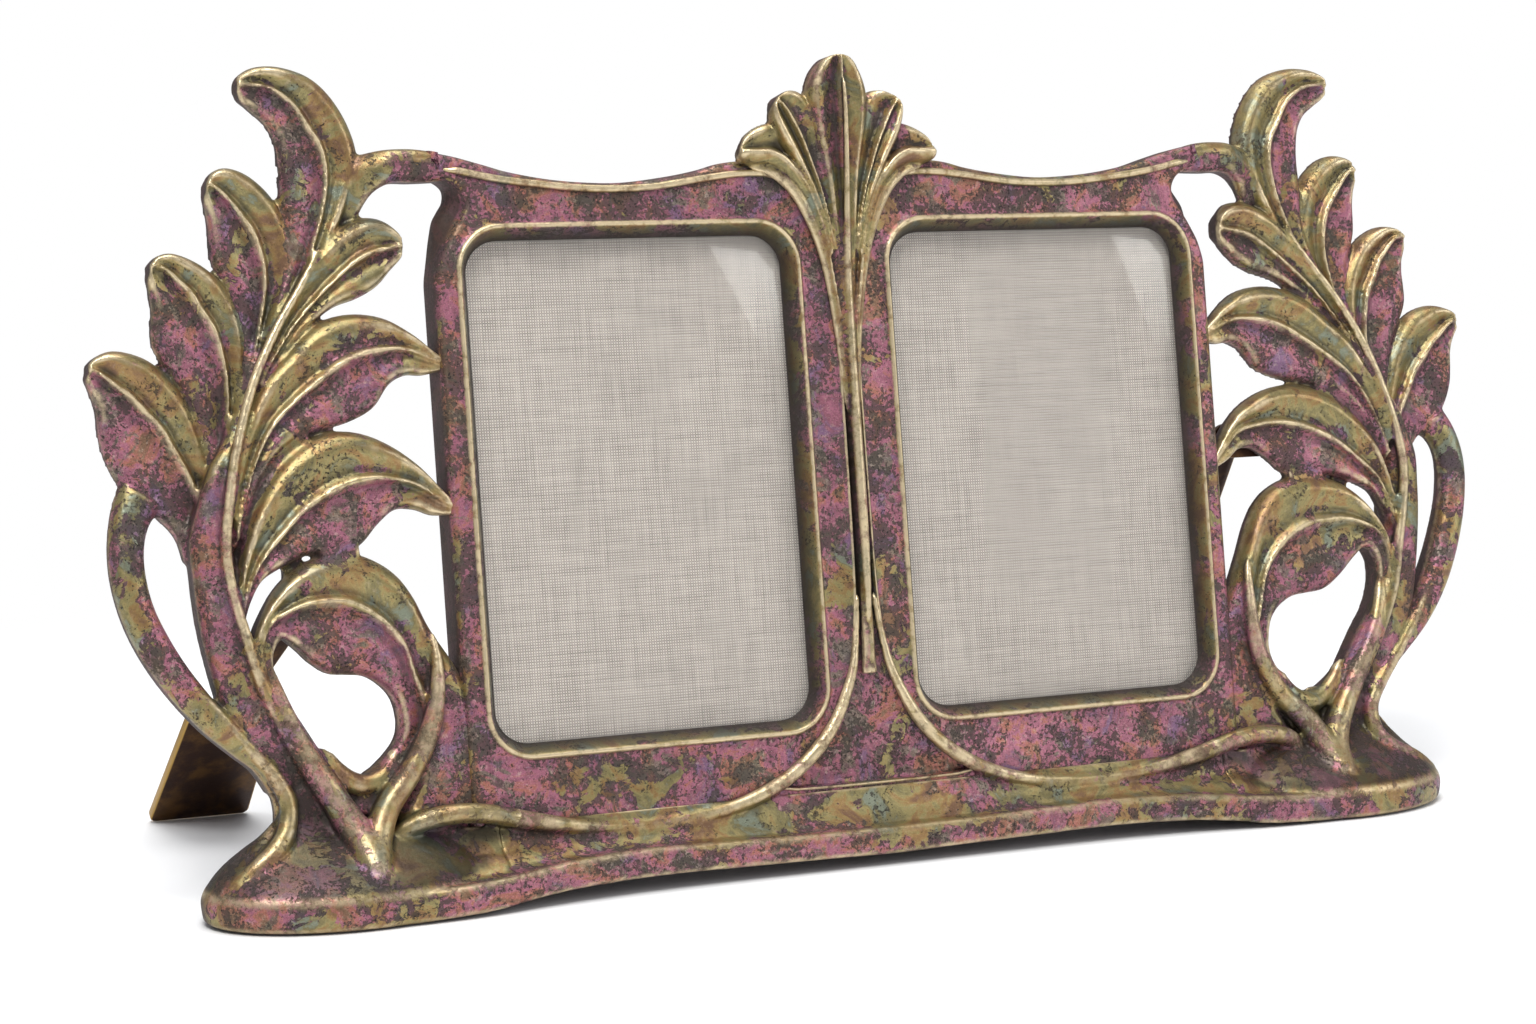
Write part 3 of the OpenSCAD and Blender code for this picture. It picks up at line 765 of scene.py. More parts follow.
WING_LEAVES = {
    "top": Leaf(((.519, .97, .519, .974), (.51, .959, .512, .984), (.476, .947, .467, .995),
                 (.44, .934, .398, .997), (.416, .916, .313, .986), (.406, .895, .251, .963),
                 (.404, .87, .204, .928), (.406, .839, .184, .89), (.401, .803, .208, .849),
                 (.408, .767, .269, .798), (.44, .729, .341, .749), (.488, .68, .437, .691)),
                (.6, .6, .58, .55, .5, .48, .54, .54, .51, .5, .59, .67), 4.0, 6.5),
    "second": Leaf(((.617, .854, .617, .86), (.62, .847, .596, .874), (.614, .831, .552, .88),
                    (.608, .813, .496, .872), (.608, .795, .442, .852), (.605, .775, .407, .828),
                    (.588, .754, .384, .798), (.566, .731, .38, .77), (.548, .706, .398, .739),
                    (.539, .675, .442, .703), (.542, .645, .508, .652)),
                   (.5, .5, .48, .47, .5, .55, .54, .51, .45, .4, .4), 6.0, 6.5),
    "third": Leaf(((.787, .763, .787, .768), (.79, .753, .765, .778), (.784, .737, .72, .782),
                   (.78, .719, .665, .774), (.784, .701, .616, .76), (.784, .68, .572, .739),
                   (.765, .66, .546, .711), (.733, .639, .535, .68), (.702, .611, .543, .647),
                   (.681, .578, .565, .605), (.661, .542, .595, .56), (.655, .505, .622, .52)),
                  (.6, .6, .6, .58, .61, .61, .65, .64, .66, .7, .74, .76), 6.5, 6.5),
    "fourth": Leaf(((.97, .65, .97, .656), (.975, .641, .948, .665), (.96, .624, .898, .672),
                    (.948, .606, .837, .667), (.946, .586, .784, .655), (.94, .563, .736, .634),
                    (.922, .54, .7, .609), (.893, .517, .675, .578), (.849, .496, .658, .542),
                    (.792, .478, .651, .501), (.752, .455, .651, .46), (.733, .425, .652, .419)),
                   (.5, .45, .43, .43, .5, .55, .61, .64, .68, .71, .73, .73), 7.5, 6.5),
    "small": Leaf(((.076, .785, .076, .781), (.089, .799, .083, .77), (.128, .814, .112, .756),
                   (.182, .817, .154, .738), (.235, .81, .213, .725), (.289, .795, .278, .716),
                   (.343, .771, .337, .7), (.396, .739, .404, .674), (.449, .703, .464, .643),
                   (.508, .657, .522, .61)),
                  (.5, .55, .57, .51, .53, .63, .67, .65, .65, .65), 3.0, 6.5, Profile.ROLLED,
                  Profile.HOLLOW, first_zone=0.9, second_zone=0.35, tip_zone=0.35),
    "upper": Leaf(((-.024, .643, -.024, .637), (.018, .658, .04, .631), (.069, .678, .09, .632),
                   (.136, .696, .141, .621), (.214, .703, .19, .595), (.293, .7, .263, .58),
                   (.364, .687, .341, .572), (.429, .662, .417, .562), (.5, .633, .486, .54),
                   (.556, .59, .538, .512), (.595, .539, .578, .478), (.62, .486, .608, .442)),
                  (.4, .35, .42, .46, .41, .44, .52, .57, .61, .67, .75, .74), 2.0, 6.5, Profile.ROLLED,
                  Profile.HOLLOW, first_zone=0.85, second_zone=0.0, tip_zone=0.3),
    "middle": Leaf(((-.024, .471, -.024, .464), (.024, .496, .042, .465), (.076, .522, .09, .473),
                    (.136, .543, .148, .474), (.208, .559, .201, .458), (.281, .566, .259, .434),
                    (.353, .563, .335, .428), (.425, .548, .419, .426), (.49, .523, .492, .413),
                    (.546, .487, .547, .399), (.586, .445, .582, .376), (.616, .394, .607, .35)),
                   (.45, .42, .47, .52, .48, .44, .49, .58, .68, .73, .72, .7), 1.5, 6.5, Profile.ROLLED,
                   Profile.HOLLOW, first_zone=0.85, second_zone=0.0, tip_zone=0.3),
    "loop": Leaf(((.054, .072, .343, .128), (-.02, .123, .295, .162), (-.02, .169, .257, .174),
                  (-.02, .205, .219, .188), (-.02, .246, .19, .203), (.012, .284, .178, .219),
                  (.078, .332, .181, .237), (.117, .368, .195, .255), (.163, .395, .227, .271),
                  (.227, .414, .269, .282), (.299, .424, .317, .285), (.377, .421, .371, .288),
                  (.449, .408, .419, .301), (.51, .385, .464, .32), (.553, .357, .504, .332),
                  (.577, .334, .535, .315), (.583, .307, .534, .289), (.57, .276, .51, .261),
                  (.53, .235, .47, .233), (.476, .184, .41, .189)),
                 (.5, .5, .5, .55, .58, .6, .58, .52, .5, .46, .41, .38, .37, .38, .35, .35, .4, .4, .45,
                  .5), 1.0, 8.5, Profile.ROLLED, Profile.HOLLOW, first_zone=0.7, second_zone=0.1,
                 tip_zone=0.0, rib_line=0.5, start=Profile.FLAT),
}
WING_STEMS = {
    "outer": Leaf(((.895, .522, .789, .491), (.922, .494, .829, .473), (.941, .46, .851, .448),
                   (.946, .425, .855, .417), (.936, .389, .841, .38), (.91, .35, .808, .344),
                   (.864, .309, .764, .308), (.801, .269, .713, .275), (.729, .233, .661, .247),
                   (.652, .203, .596, .22), (.593, .181, .536, .197), (.552, .153, .482, .174)),
                  (.5, .5), 8.0, 4.5, Profile.ROUND, Profile.ROUND, 2.6, 0, 0.5, 0.35, 0.2,
                  ((0, 8), (.3, 6), (.6, 4), (1, 3.4))),
    "main": Leaf(((.53, .655, .495, .645), (.575, .6, .535, .592), (.62, .56, .575, .555),
                  (.663, .532, .614, .535), (.699, .491, .62, .496), (.729, .45, .62, .455),
                  (.727, .409, .616, .409), (.719, .358, .602, .363), (.699, .307, .584, .317),
                  (.669, .256, .554, .271), (.62, .215, .5, .23), (.566, .174, .428, .189),
                  (.536, .138, .343, .164), (.542, .097, .271, .138)),
                 (.5, .5), 6.0, 6.5, Profile.ROUND, Profile.ROUND, 2.4, 0, 0.3, 0.3, 0.0,
                 ((0, 6), (.25, 3.6), (.5, 2.6), (.75, 2.8), (1, 5))),
    "arm": Leaf(((-.13, .876, -.13, .862), (-.03, .892, -.03, .859), (.03, .8965, .042, .858),
                 (.09, .897, .102, .858), (.139, .8955, .15, .848), (.184, .892, .18, .83),
                 (.229, .888, .204, .808), (.272, .868, .236, .788)),
                (.35, .35), 1.0, 8.5, Profile.ROUND, Profile.ROUND, 2.4, 0, 0.6, 0.3, 0.6,
                ((0, 2), (.12, 1.2), (.3, .6), (.5, .9), (.72, 3.2), (1, 7)), grow=0.1),
    "upper_web": Leaf(((.386, .58, .386, .547), (.476, .552, .476, .501), (.56, .506, .56, .45),
                       (.585, .474, .585, .43)),
                      (.5, .5), 4.5, 5.0, Profile.ROUND, Profile.ROUND, 1.5, 0, 0, 0, 0),
    "lower_web": Leaf(((.265, .436, .265, .408), (.375, .433, .375, .411)), (.5, .5), 3.0, 4.5,
                      Profile.ROUND, Profile.ROUND, 1.5, 0, 0.3, 0.3, 0),
    "strut": Leaf(((.425, .435, .425, .388), (.475, .425, .475, .378)), (.5, .5), 6.0, 3.2, Profile.ROUND,
                  Profile.ROUND, 1.2, 0, 1, 1, 0.6),
}
WING_CORDS = (
    # broad rib from the loop's opening into the middle of the foot
    Cord(((131.4, -6.3, 9.5, 3.0), (131.8, -4.6, 12.8, 3.8), (133, -1.6, 17.8, 3.9), (136, .8, 23.6, 3.6),
          (139.6, 1.8, 30.6, 3.1), (143.8, 2.0, 38.2, 2.7), (147.8, 2.2, 47, 2.2), (150.2, 3.2, 55, 1.6),
          (151.4, 4.8, 61, .8)),
         line=0.6, zone=0.35),
    # the web under the loop's opening
    Cord(((139.8, 4, 39.4, 1.5), (137.2, 4, 34.8, 2.2), (134, 4, 31.6, 2.5), (130.4, 4, 30.1, 2.6),
          (126.6, 4, 31, 2.5), (123.4, 4, 34.2, 2.2), (121.4, 4, 38.6, 1.5)), line=0.1, zone=0.6),
    # small webs that close the gaps between the leaves' roots
    Cord(((156.8, 8.6, 95, 1.6), (155.2, 8.6, 89, 2.5), (153.8, 8.6, 83, 2.4), (153, 8.4, 78.5, 1.2)),
         line=0, zone=0),
    Cord(((128.4, 8.4, 166, 1.6), (127, 8.4, 161, 2.4), (128.4, 8.2, 156, 1.6)), line=0, zone=0.3),
    # the trunk's rib
    Cord(((137.2, .4, 24, 1.6), (140.4, 1.8, 29, 2.0), (144.2, 2.4, 36, 1.9), (149, 2.3, 45, 1.7),
          (153.2, 2.1, 55, 1.6), (156, 2.0, 65, 1.5), (158.6, 2.0, 76, 1.4), (159.4, 2.0, 86, 1.35),
          (157.7, 2.0, 97, 1.3), (154.9, 2.4, 109, 1.25), (150.3, 2.8, 122.6, 1.15),
          (144.1, 3.2, 134.4, 1.05), (138.1, 3.6, 143.3, 0.9), (132, 4.2, 153, 0.6)), line=0.3, zone=0.5),
    # the outer stem's tail
    Cord(((166, 1.6, 8, 1.0), (161, .6, 11.4, 1.9), (156.8, .2, 14.4, 2.3), (152.4, .9, 17.8, 2.4),
          (149.4, 2.4, 22, 2.3), (148.6, 3.4, 27.8, 2.1), (151, 4.0, 33.8, 2.0), (156.4, 4.4, 40.6, 1.8),
          (163, 4.9, 49, 1.5), (169.4, 5.8, 57, .8)),
         line=0.4, zone=0.6),
    # the loop's tail
    Cord(((131.2, -5.2, 10, 3.0), (130.6, -3.6, 14.4, 3.5), (129.2, -1.4, 18.8, 3.4), (126, .2, 25, 3.1),
          (119.4, .7, 33, 2.8), (114.8, .5, 41, 2.5), (112.4, .4, 49, 2.0), (111.7, .8, 57, 1.4),
          (112.2, 1.8, 64, .7)), line=0.6, zone=0.45),
)


CREST_LOBES = (
    (0, Leaf(((.028, 1, -.028, 1), (.106, .983, -.106, .983), (.183, .938, -.183, .938),
              (.25, .864, -.25, .864), (.29, .765, -.29, .765), (.28, .642, -.28, .642),
              (.24, .494, -.24, .494), (.19, .346, -.19, .346), (.15, .198, -.15, .198),
              (.12, .0, -.12, .0), (.09, -.2, -.09, -.2), (.07, -.4, -.07, -.4)),
             (.5, .5), -6.6, 9.0, Profile.HOLLOW, Profile.HOLLOW, 3.2, 0.12, 0.8, 0.6, 0.9,
             ((0, -6.4), (.15, -6.8), (.5, -5.6), (.75, -4.2), (1, -2.2)), inset=0.15)),
    (1, Leaf(((.63, .726, .599, .751), (.655, .667, .475, .79), (.644, .593, .352, .78),
              (.592, .506, .268, .716), (.493, .395, .211, .605), (.387, .272, .176, .457),
              (.282, .136, .141, .296), (.2, -.025, .1, .099), (.15, -.2, .06, -.1)),
             (.42, .4), -4.2, 6.2, Profile.ROLLED, Profile.HOLLOW, 3.0, 0.12, 0.9, 0.75, 0.8,
             ((0, -4), (.4, -4.2), (1, -2.4)), inset=0.15)),
    (1, Leaf(((.996, .415, .986, .44), (.986, .385, .915, .519), (.863, .353, .775, .58),
              (.722, .346, .627, .6), (.581, .304, .493, .556), (.458, .222, .387, .444),
              (.363, .111, .292, .309), (.28, -.037, .204, .111), (.21, -.198, .141, -.099),
              (.16, -.4, .09, -.3), (.12, -.62, .05, -.52)),
             (.45, .4, .36, .34, .34, .36, .4, .45, .5, .5, .5), -2.8, 4.6, Profile.ROUND, Profile.HOLLOW,
             3.2, 0.1, 0.95, 0.7, 1.0, ((0, -2.4), (.3, -3.2), (.7, -2.4), (1, -1.2)), inset=0.15)),
)


class Wing:
    """One side casting: leaves, stems and cords, fused with their foot."""

    def __init__(self, side: Side) -> None:
        """Keeps the half of the frame that the wing is on."""
        self.side = side

    def build(self) -> bpy.types.Object:
        """Builds the wing with its foot as one casting.

        Returns:
            The finished piece.
        """
        seam = self.side.value * Base.wing_joint
        casting = Casting(f"{self.side.word}_casting", 0.54, 3, (seam,))
        place = wing_place(self.side)
        for leaf in (*WING_LEAVES.values(), *WING_STEMS.values()):
            casting.body.add_loft(*leaf.rings(place))
        for cord in WING_CORDS:
            path = tuple((*wing_shift(self.side, u, v), w, r) for u, w, v, r in cord.path)
            casting.body.add_loft(*replace(cord, path=tuple((u, w, v, r) for u, v, w, r in path)).rings())
        Base.add_foot(casting.body, self.side)
        Base.add_band(casting.body, seam, self.side.value * SIZES.foot_x)
        Base.add_scroll(casting.body, self.side, *Base.wing_scroll)
        return hand_over(casting.build(), "frame", f"{self.side.word}_wing")


class Base:
    """The bar between the feet, its ridge and the scrolls under the windows."""

    # Distances from the middle: start of the wing's bar, end of the middle bar, and the scroll's two parts
    wing_joint = 99.0
    bar_end = 99.6
    middle_scroll = (2.2, 106.0)
    wing_scroll = (90.0, 128.0)
    foot_levels = ((.02, .96, .96, .95, .95), (.06, 1, 1, 1, 1), (.16, 1.015, 1.01, 1.012, 1.01),
                   (.27, 1.02, 1.02, 1.0, 1), (.36, 1.0, .995, .975, .99), (.43, .97, .97, .92, .96),
                   (.52, .93, .95, .81, .88), (.64, .86, .87, .6, .75), (.79, .74, .73, .34, .6),
                   (.9, .64, .6, .17, .48), (1, .57, .5, .06, .42), (1.12, .5, .42, .01, .36),
                   (1.25, .43, .33, .0, .28), (1.38, .35, .24, .0, .2), (1.5, .27, .16, .0, .1))
    band_rows = ((0, .3, .38, 1.24), (.22, .295, .45, 1.26), (.45, .275, .51, 1.37), (.61, .2, .46, 1.32),
                 (.71, .12, .32, 1.17), (.78, .06, .16, 1.05), (.85, .02, .1, 1), (.93, .01, .06, .96),
                 (1, .02, .06, .93))
    # (u, w, v, half width) of the scroll's crest, from the spine to the foot
    scroll = ((2.2, .6, 66, 1.0), (3.8, 0, 54, 1.2), (6, -.4, 45, 1.6), (12.5, -.6, 33, 2.1),
              (23, -.6, 23.6, 2.3), (36, -.4, 17.8, 2.2), (50, -.2, 15.3, 2.0), (66, -.2, 14.8, 1.9),
              (80, -.8, 16.2, 2.2), (92, -1.6, 18.6, 2.7), (103, -1.8, 21.2, 2.9), (111, -1.4, 21.8, 3.0),
              (118, -.4, 20.8, 3.0), (123, 1.2, 18.4, 2.6), (127, 3.2, 15, 1.8))

    @classmethod
    def add_foot(cls, body: Body, side: Side) -> None:
        """Adds one flared foot.

        Args:
            body: Surfaces to add to.
            side: Half of the frame.
        """
        rings, tones = [], []
        for height, outer, inner, front, back in refine(np.array(cls.foot_levels), 4):
            if side is Side.RIGHT:
                outer *= 1 - 0.08 * bell(height, 0.72, 0.22)
            # Rubbed gold with a painted highlight along the bead, painted shade over the foot, stronger
            # above the bead, and at its bottom
            tone = Tone(line=0.7 * bell(height, .35, .06), zone=0.45 if height > .42 else 0.5,
                        painted_shade=0.5 * (height > .4) + .2, side=0.35 * (height < .12))
            ring = []
            for a in (2 * math.pi * j / 72 for j in range(72)):
                x = SIZES.foot_x + SIZES.foot_rx * math.cos(a) * (outer if math.cos(a) > 0 else inner)
                reach = back if math.sin(a) > 0 else front
                y = SIZES.foot_ry - SIZES.foot_front + SIZES.foot_ry * math.sin(a) * reach
                ring.append((side.value * x, y, height * SIZES.neck_z))
            rings.append(floor_to_world(np.array(ring)))
            tones.append(np.tile(tone.row(), (len(ring), 1)))
        body.add_loft(rings, tones)

    @classmethod
    def add_band(cls, body: Body, start: float, stop: float) -> None:
        """Adds the bar between two places in X.

        Args:
            body: Surfaces to add to.
            start: X of its first end.
            stop: X of its other end.
        """
        rows = refine(np.array(cls.band_rows), 6)
        on_face = SIZES.section
        rings, tones = [], []
        for x in np.linspace(start, stop, max(2, int(abs(stop - start) / 2.2))):
            share = abs(x) / SIZES.foot_x
            recess, low, ridge = (np.interp(share, rows[:, 0], rows[:, k]) for k in (1, 2, 3))
            front = recess * SIZES.foot_ry - SIZES.foot_front
            low, ridge = low * SIZES.ridge_z, ridge * SIZES.ridge_z
            # The valley under the scroll's end, and its shade
            hollow, shade = bell(abs(x), 117, 9), bell(abs(x), 110, 15, 4)
            valley_y, valley_z = on_face(12.5, 0.6 + 1.5 * hollow)
            # Painted shade on the bar's back and underside, rubbed gold with a painted highlight along its
            # ridge
            dark = Tone(side=1)
            section = (
                ((19, low), dark), ((20, low + 1), dark), ((20, ridge), dark),
                (on_face(13, 13.6), dark), (on_face(15, 8.4), dark),
                (on_face(18.6, 0.6 + 1.5 * hollow), Tone(zone=0.5, painted_shade=0.2 + 0.8 * shade)),
                (on_face(16.6, 0.4 + 1.7 * hollow), Tone(zone=0.5, painted_shade=0.1 + 0.8 * shade)),
                ((valley_y - 1.5, valley_z + 0.2), Tone(zone=0.75, painted_shade=0.35 * shade)),
                ((front + 5.2, ridge + 0.35), Tone(zone=0.7)),
                ((front + 3.0, ridge + 0.2), Tone(line=0.1, zone=0.4)),
                ((front + 1.7, ridge + 0.15), Tone(line=0.7, zone=0.5)),
                ((front + 0.7, ridge - 0.4), Tone(line=0.6, zone=0.3)),
                ((front + 0.1, ridge - 1.6), Tone(zone=0.1)),
                ((front + 0.25, (low + ridge) / 2), Tone()), ((front, low + 1.6), Tone()),
                ((front + 0.4, low + 0.5), Tone(line=0.3, zone=0.3, side=0.3)), ((front + 1.2, low), dark),
            )
            rings.append(floor_to_world(np.array([(x, y, z) for (y, z), _ in section])))
            tones.append(np.array([tone.row() for _, tone in section]))
        body.add_loft(rings, tones)

    @classmethod
    def add_scroll(cls, body: Body, side: Side, low: float, high: float) -> None:
        """Adds the part of a scroll between two distances from the middle.

        Args:
            body: Surfaces to add to.
            side: Half of the frame.
            low: Least distance.
            high: Greatest distance.
        """
        path = refine(np.array(cls.scroll), 4)
        path = path[(path[:, 0] >= low) & (path[:, 0] <= high)]
        body.add_loft(*Cord(mirrored(side, path, 0.7, 0.82), 1.0, 0.5, 0.55).rings(2))

    def build(self) -> bpy.types.Object:
        """Builds the middle of the base.

        Returns:
            The finished piece.
        """
        casting = Casting("base_casting", 0.62, 4, (-self.bar_end, self.bar_end))
        self.add_band(casting.body, -self.bar_end, self.bar_end)
        for side in Side:
            self.add_scroll(casting.body, side, *self.middle_scroll)
        return hand_over(casting.build(), "frame", "base")


class Crest:
    """The palmette over the spine."""

    trunk = Leaf(
        tuple((share, height, -share, height) for share, height in (
            (.2, .4), (.185, .2), (.165, 0), (.13, -.2), (.095, -.45), (.062, -.8), (.05, -1.25),
            (.048, -1.8), (.05, -2.2), (.06, -2.5), (.07, -2.72))),
        (.5, .5), -1.8, 4.4, Profile.ROUND, Profile.ROUND, 1.5, 0, 0.35, 0.1, 0.2,
        ((0, -1.6), (.3, -1.6), (.7, -.9), (1, .6)), inset=0.05, grow=0.0)
    rib = ((0, -6.5, 190.5, .4), (0, -6.5, 184, .55), (0, -5.6, 174, .65), (0, -4.3, 164, .75),
           (0, -2.7, 154, .95), (0, -1.4, 144, 1.15), (0, -.7, 132, 1.3), (0, -.5, 118, 1.35),
           (0, -.5, 100, 1.35), (0, -.5, 84, 1.3), (0, -.2, 68, 1.1), (0, .4, 58, .7))
    flank = ((24, .6, 170.2, .7), (18, -.2, 168.4, 1.2), (12.9, -.6, 164.2, 1.5), (9.0, -.6, 157.6, 1.5),
             (6.1, -.5, 149.8, 1.4), (4.3, -.2, 141, 1.2), (3.0, .3, 131, 1.0), (2.1, .6, 120, .8),
             (1.6, .7, 110, .5))

    def build(self) -> bpy.types.Object:
        """Builds the lobes and the cords that run down between the windows.

        Returns:
            The finished piece.
        """
        casting = Casting("crest_casting", 0.36, 3)
        both = (Side.RIGHT, Side.LEFT)
        for paired, lobe in CREST_LOBES:
            for side in both if paired else both[:1]:
                casting.body.add_loft(*lobe.rings(crest_place(side)))
        casting.body.add_loft(*self.trunk.rings(crest_place(Side.RIGHT)))
        casting.body.add_loft(*Cord(self.rib, 1.1, 0.9, 0.55).rings())
        for side in both:
            casting.body.add_loft(*Cord(mirrored(side, self.flank), 0.9, 0.6, 0.55).rings())
        return hand_over(casting.build(), "frame", "crest")


class Front:
    """The plate round the two windows, with its mouldings, rims and recesses."""

    top_rows = ((0, 1.524), (.19, 1.524), (.284, 1.457), (.351, 1.295), (.427, 1.162), (.531, 1.048),
                (.616, 1.057), (.711, 1.143), (.806, 1.314), (.872, 1.5), (.938, 1.68), (1, 1.8))
    notch_rows = ((1, 1.36), (.982, 1.24), (.954, 1.1), (.935, .952), (.923, .714), (.926, .476),
                  (.937, .286), (.956, 0), (.972, -.286), (.986, -.571), (.997, -.952), (1, -1.143))
    # The same notch behind the boards, where it clears the recess
    notch_back = ((1, 1.36), (.982, 1.24), (.956, 1.1), (.944, .95), (.946, .72), (.96, .5), (.972, .3),
                  (.98, 0), (.986, -.286), (.991, -.571), (.998, -.952), (1, -1.143))
    # Growth of the window outline, depth, corner radius and tone, from the field to the back: rubbed gold
    # with a painted highlight on the lip, painted shade in the cove down to the glass
    moulding = (
        (2.5, 1.0, 12.2, Tone()), (2.0, .98, 11.9, Tone(painted_shade=.15)),
        (1.65, .7, 11.6, Tone(line=.3, painted_shade=.1)), (1.3, .25, 11.3, Tone(line=.8, zone=.5)),
        (.95, .03, 10.9, Tone(line=1, zone=.6)), (.6, .1, 10.6, Tone(line=.8, zone=.6)),
        (.3, .45, 10.3, Tone(line=.3, zone=.6, painted_shade=.2)), (0, 1.0, 10.0, Tone(zone=.6, painted_shade=.45)),
        (-.5, 2.0, 9.5, Tone(zone=.6, painted_shade=.58, side=.25)),
        (-1.0, 3.0, 9.0, Tone(zone=.6, painted_shade=.68, side=.35)),
        (-1.5, 3.9, 8.6, Tone(zone=.5, painted_shade=.8, side=.5)),
        (-1.85, 4.45, 8.3, Tone(zone=.5, painted_shade=.9, side=.6)), (-2.1, 4.7, 8.2, Tone(side=.8, painted_shade=1)),
        (-2.2, 4.88, 8.1, Tone(side=.9, painted_shade=1)), (2.5, 4.9, 5.0, Tone(side=1)),
        (2.5, 10.9, 5.0, Tone(side=1)), (2.7, 11.0, 5.2, Tone(side=1)), (4.0, 11.0, 6.5, Tone(side=1)),
    )
    # Inset, depth and tone of the plate's outer edge: rubbed gold with a painted highlight on its rounding,
    # painted shade on its walls
    edge = ((2.6, 1.0, Tone()), (1.9, 1.0, Tone(line=.05)), (1.2, 1.2, Tone(line=.25, zone=.2)),
            (.6, 1.7, Tone(line=.2, zone=.3)), (.2, 2.5, Tone(zone=.3, side=.4)), (0, 3.6, Tone(side=.9)),
            (0, 5.2, Tone(side=1)), (0, 6.6, Tone(side=1)), (0, 9.6, Tone(side=1)),
            (.25, 10.5, Tone(side=1)), (.9, 11.0, Tone(side=1)), (2.0, 11.0, Tone(side=1)))
    # Right half of the sunk middle between the panels, from the crest to the base
    middle = ((9, 166.4), (14.4, 166.6), (11.8, 165.2), (9.3, 163.2), (6.9, 160.2), (5.0, 156), (3.7, 152),
              (2.8, 147), (2.3, 141), (2.1, 132), (2.05, 118), (2.05, 100), (2.15, 84), (2.3, 72),
              (2.8, 61), (4.4, 49.8), (7.4, 41), (12.6, 32.8), (18.8, 26.8), (24.4, 23.3), (26.8, 20.7),
              (22, 20.0))
    # Growth of the middle's outline, depth and tone, from the panels down to its floor: rubbed gold with a
    # painted highlight on the brink, painted shade down its wall
    brink = ((1.25, 1.0, Tone()), (.95, .8, Tone(line=.3)), (.7, .45, Tone(line=.9, zone=.4)),
             (.4, .4, Tone(line=.8, zone=.4)), (.12, .8, Tone(zone=.3, painted_shade=.3)),
             (0, 1.5, Tone(painted_shade=.8, side=.5)), (-.12, 2.2, Tone(painted_shade=1, side=.8)),
             (-.4, 2.5, Tone(painted_shade=.9, side=.4)))
    # Raised edge of one panel: along the top rail and down beside the spine
    rim = ((102.5, 1.5, 170.4, .3), (100.5, 1.1, 170.1, .6), (98, .8, 169.8, .9), (90, .7, 168.1, .95),
           (80, .6, 166.7, .95), (65, .6, 165.3, .95), (50, .6, 165.5, .95), (38, .6, 167.1, .95),
           (28, .7, 168.3, .9), (21, .7, 168.4, .85), (16.6, .7, 167.4, .75), (12.8, .7, 165.2, .7),
           (9.2, .7, 161.4, .65), (6.6, .7, 156.4, .6), (5.1, .7, 151, .55), (4.1, .8, 145, .45),
           (3.6, .9, 139, .35))
    # Depths between which the outline changes from the front's notch to the back's
    notch_depths = (3, 6.4)
    # Height at which the shade of the middle's brink starts to grow, over which length, and its least
    fade_start, fade_length, least_shade = 36, 30, 0.15

    def outline(self, notch: tuple) -> np.ndarray:
        """Outer edge of the plate, counterclockwise.

        Args:
            notch: One of the two forms of the notch, as share pairs.

        Returns:
            Array of (u, v) rows.
        """
        def scaled(rows: tuple) -> np.ndarray:
            """Millimetres of share pairs."""
            return np.array([(u * SIZES.side_x, SIZES.window_top + v * SIZES.top_rail) for u, v in rows])

        half = np.vstack([
            refine(scaled(self.top_rows), 6),
            refine(scaled(notch), 5),
            [(SIZES.side_x, v) for v in np.linspace(138, SIZES.frame_rise + 1, 24)],
            [(u, SIZES.frame_rise + 0.5) for u in np.linspace(SIZES.side_x - 3, 0, 20)],
        ])[::-1]
        return np.vstack([half, half[1:-1][::-1] * np.array([-1, 1])])

    def hollow_outline(self) -> np.ndarray:
        """Outline of the sunk middle between the panels, counterclockwise.

        Returns:
            Array of (u, v) rows.
        """
        half = np.array(self.middle)
        half = np.vstack([half[:2], refine(half[1:-1], 4)[1:], half[-1:], [(10, 19.8)]])
        return np.vstack([half, (half * np.array([-1, 1]))[::-1]])[::-1]

    @staticmethod
    def grow(loop: np.ndarray, amount: float) -> np.ndarray:
        """Moves a counterclockwise loop outward by an amount.

        Args:
            loop: Array of (u, v) rows.
            amount: Millimetres, less than 0 for inward.

        Returns:
            The moved loop.
        """
        tangent = np.roll(loop, -1, axis=0) - np.roll(loop, 1, axis=0)
        tangent /= np.maximum(np.linalg.norm(tangent, axis=1), 1e-9)[:, None]
        return loop + amount * np.stack([tangent[:, 1], -tangent[:, 0]], axis=1)

    @staticmethod
    def add_steps(body: Body, steps: list[tuple], shade: np.ndarray | float = 1.0) -> tuple[tuple, tuple]:
        """Lofts open walls through loops at given depths.

        Args:
            body: Surfaces to add to.
            steps: Rows of loop, depth and tone.
            shade: Factor for the tones, or one for each of them.

        Returns:
            The first and the last loop, each with the index of its first vertex.
        """
        rings = [flat_ring(loop, w) for loop, w, _ in steps]
        tones = [np.tile(tone.row(), (len(loop), 1)) * shade for loop, _, tone in steps]
        starts = body.add_loft(rings, tones, caps=False)
        return (steps[0][0], starts[0]), (steps[-1][0], starts[-1])

    def build(self) -> bpy.types.Object:
        """Builds the plate as one closed mesh, and the rims of the two panels on it.

        Returns:
            The finished piece.
        """
        body = Body()
        outer, behind = self.outline(self.notch_rows), self.outline(self.notch_back)
        edge = [(self.grow(outer + (behind - outer) * between(w, self.notch_depths), -inset), w, tone)
                for inset, w, tone in self.edge]
        walls = [self.add_steps(body, edge)]
        for side in Side:
            moulding = [(window_loop(side, grow, r), w, tone) for grow, w, r, tone in self.moulding]
            walls.append(self.add_steps(body, moulding))
        fronts, backs = zip(*walls)
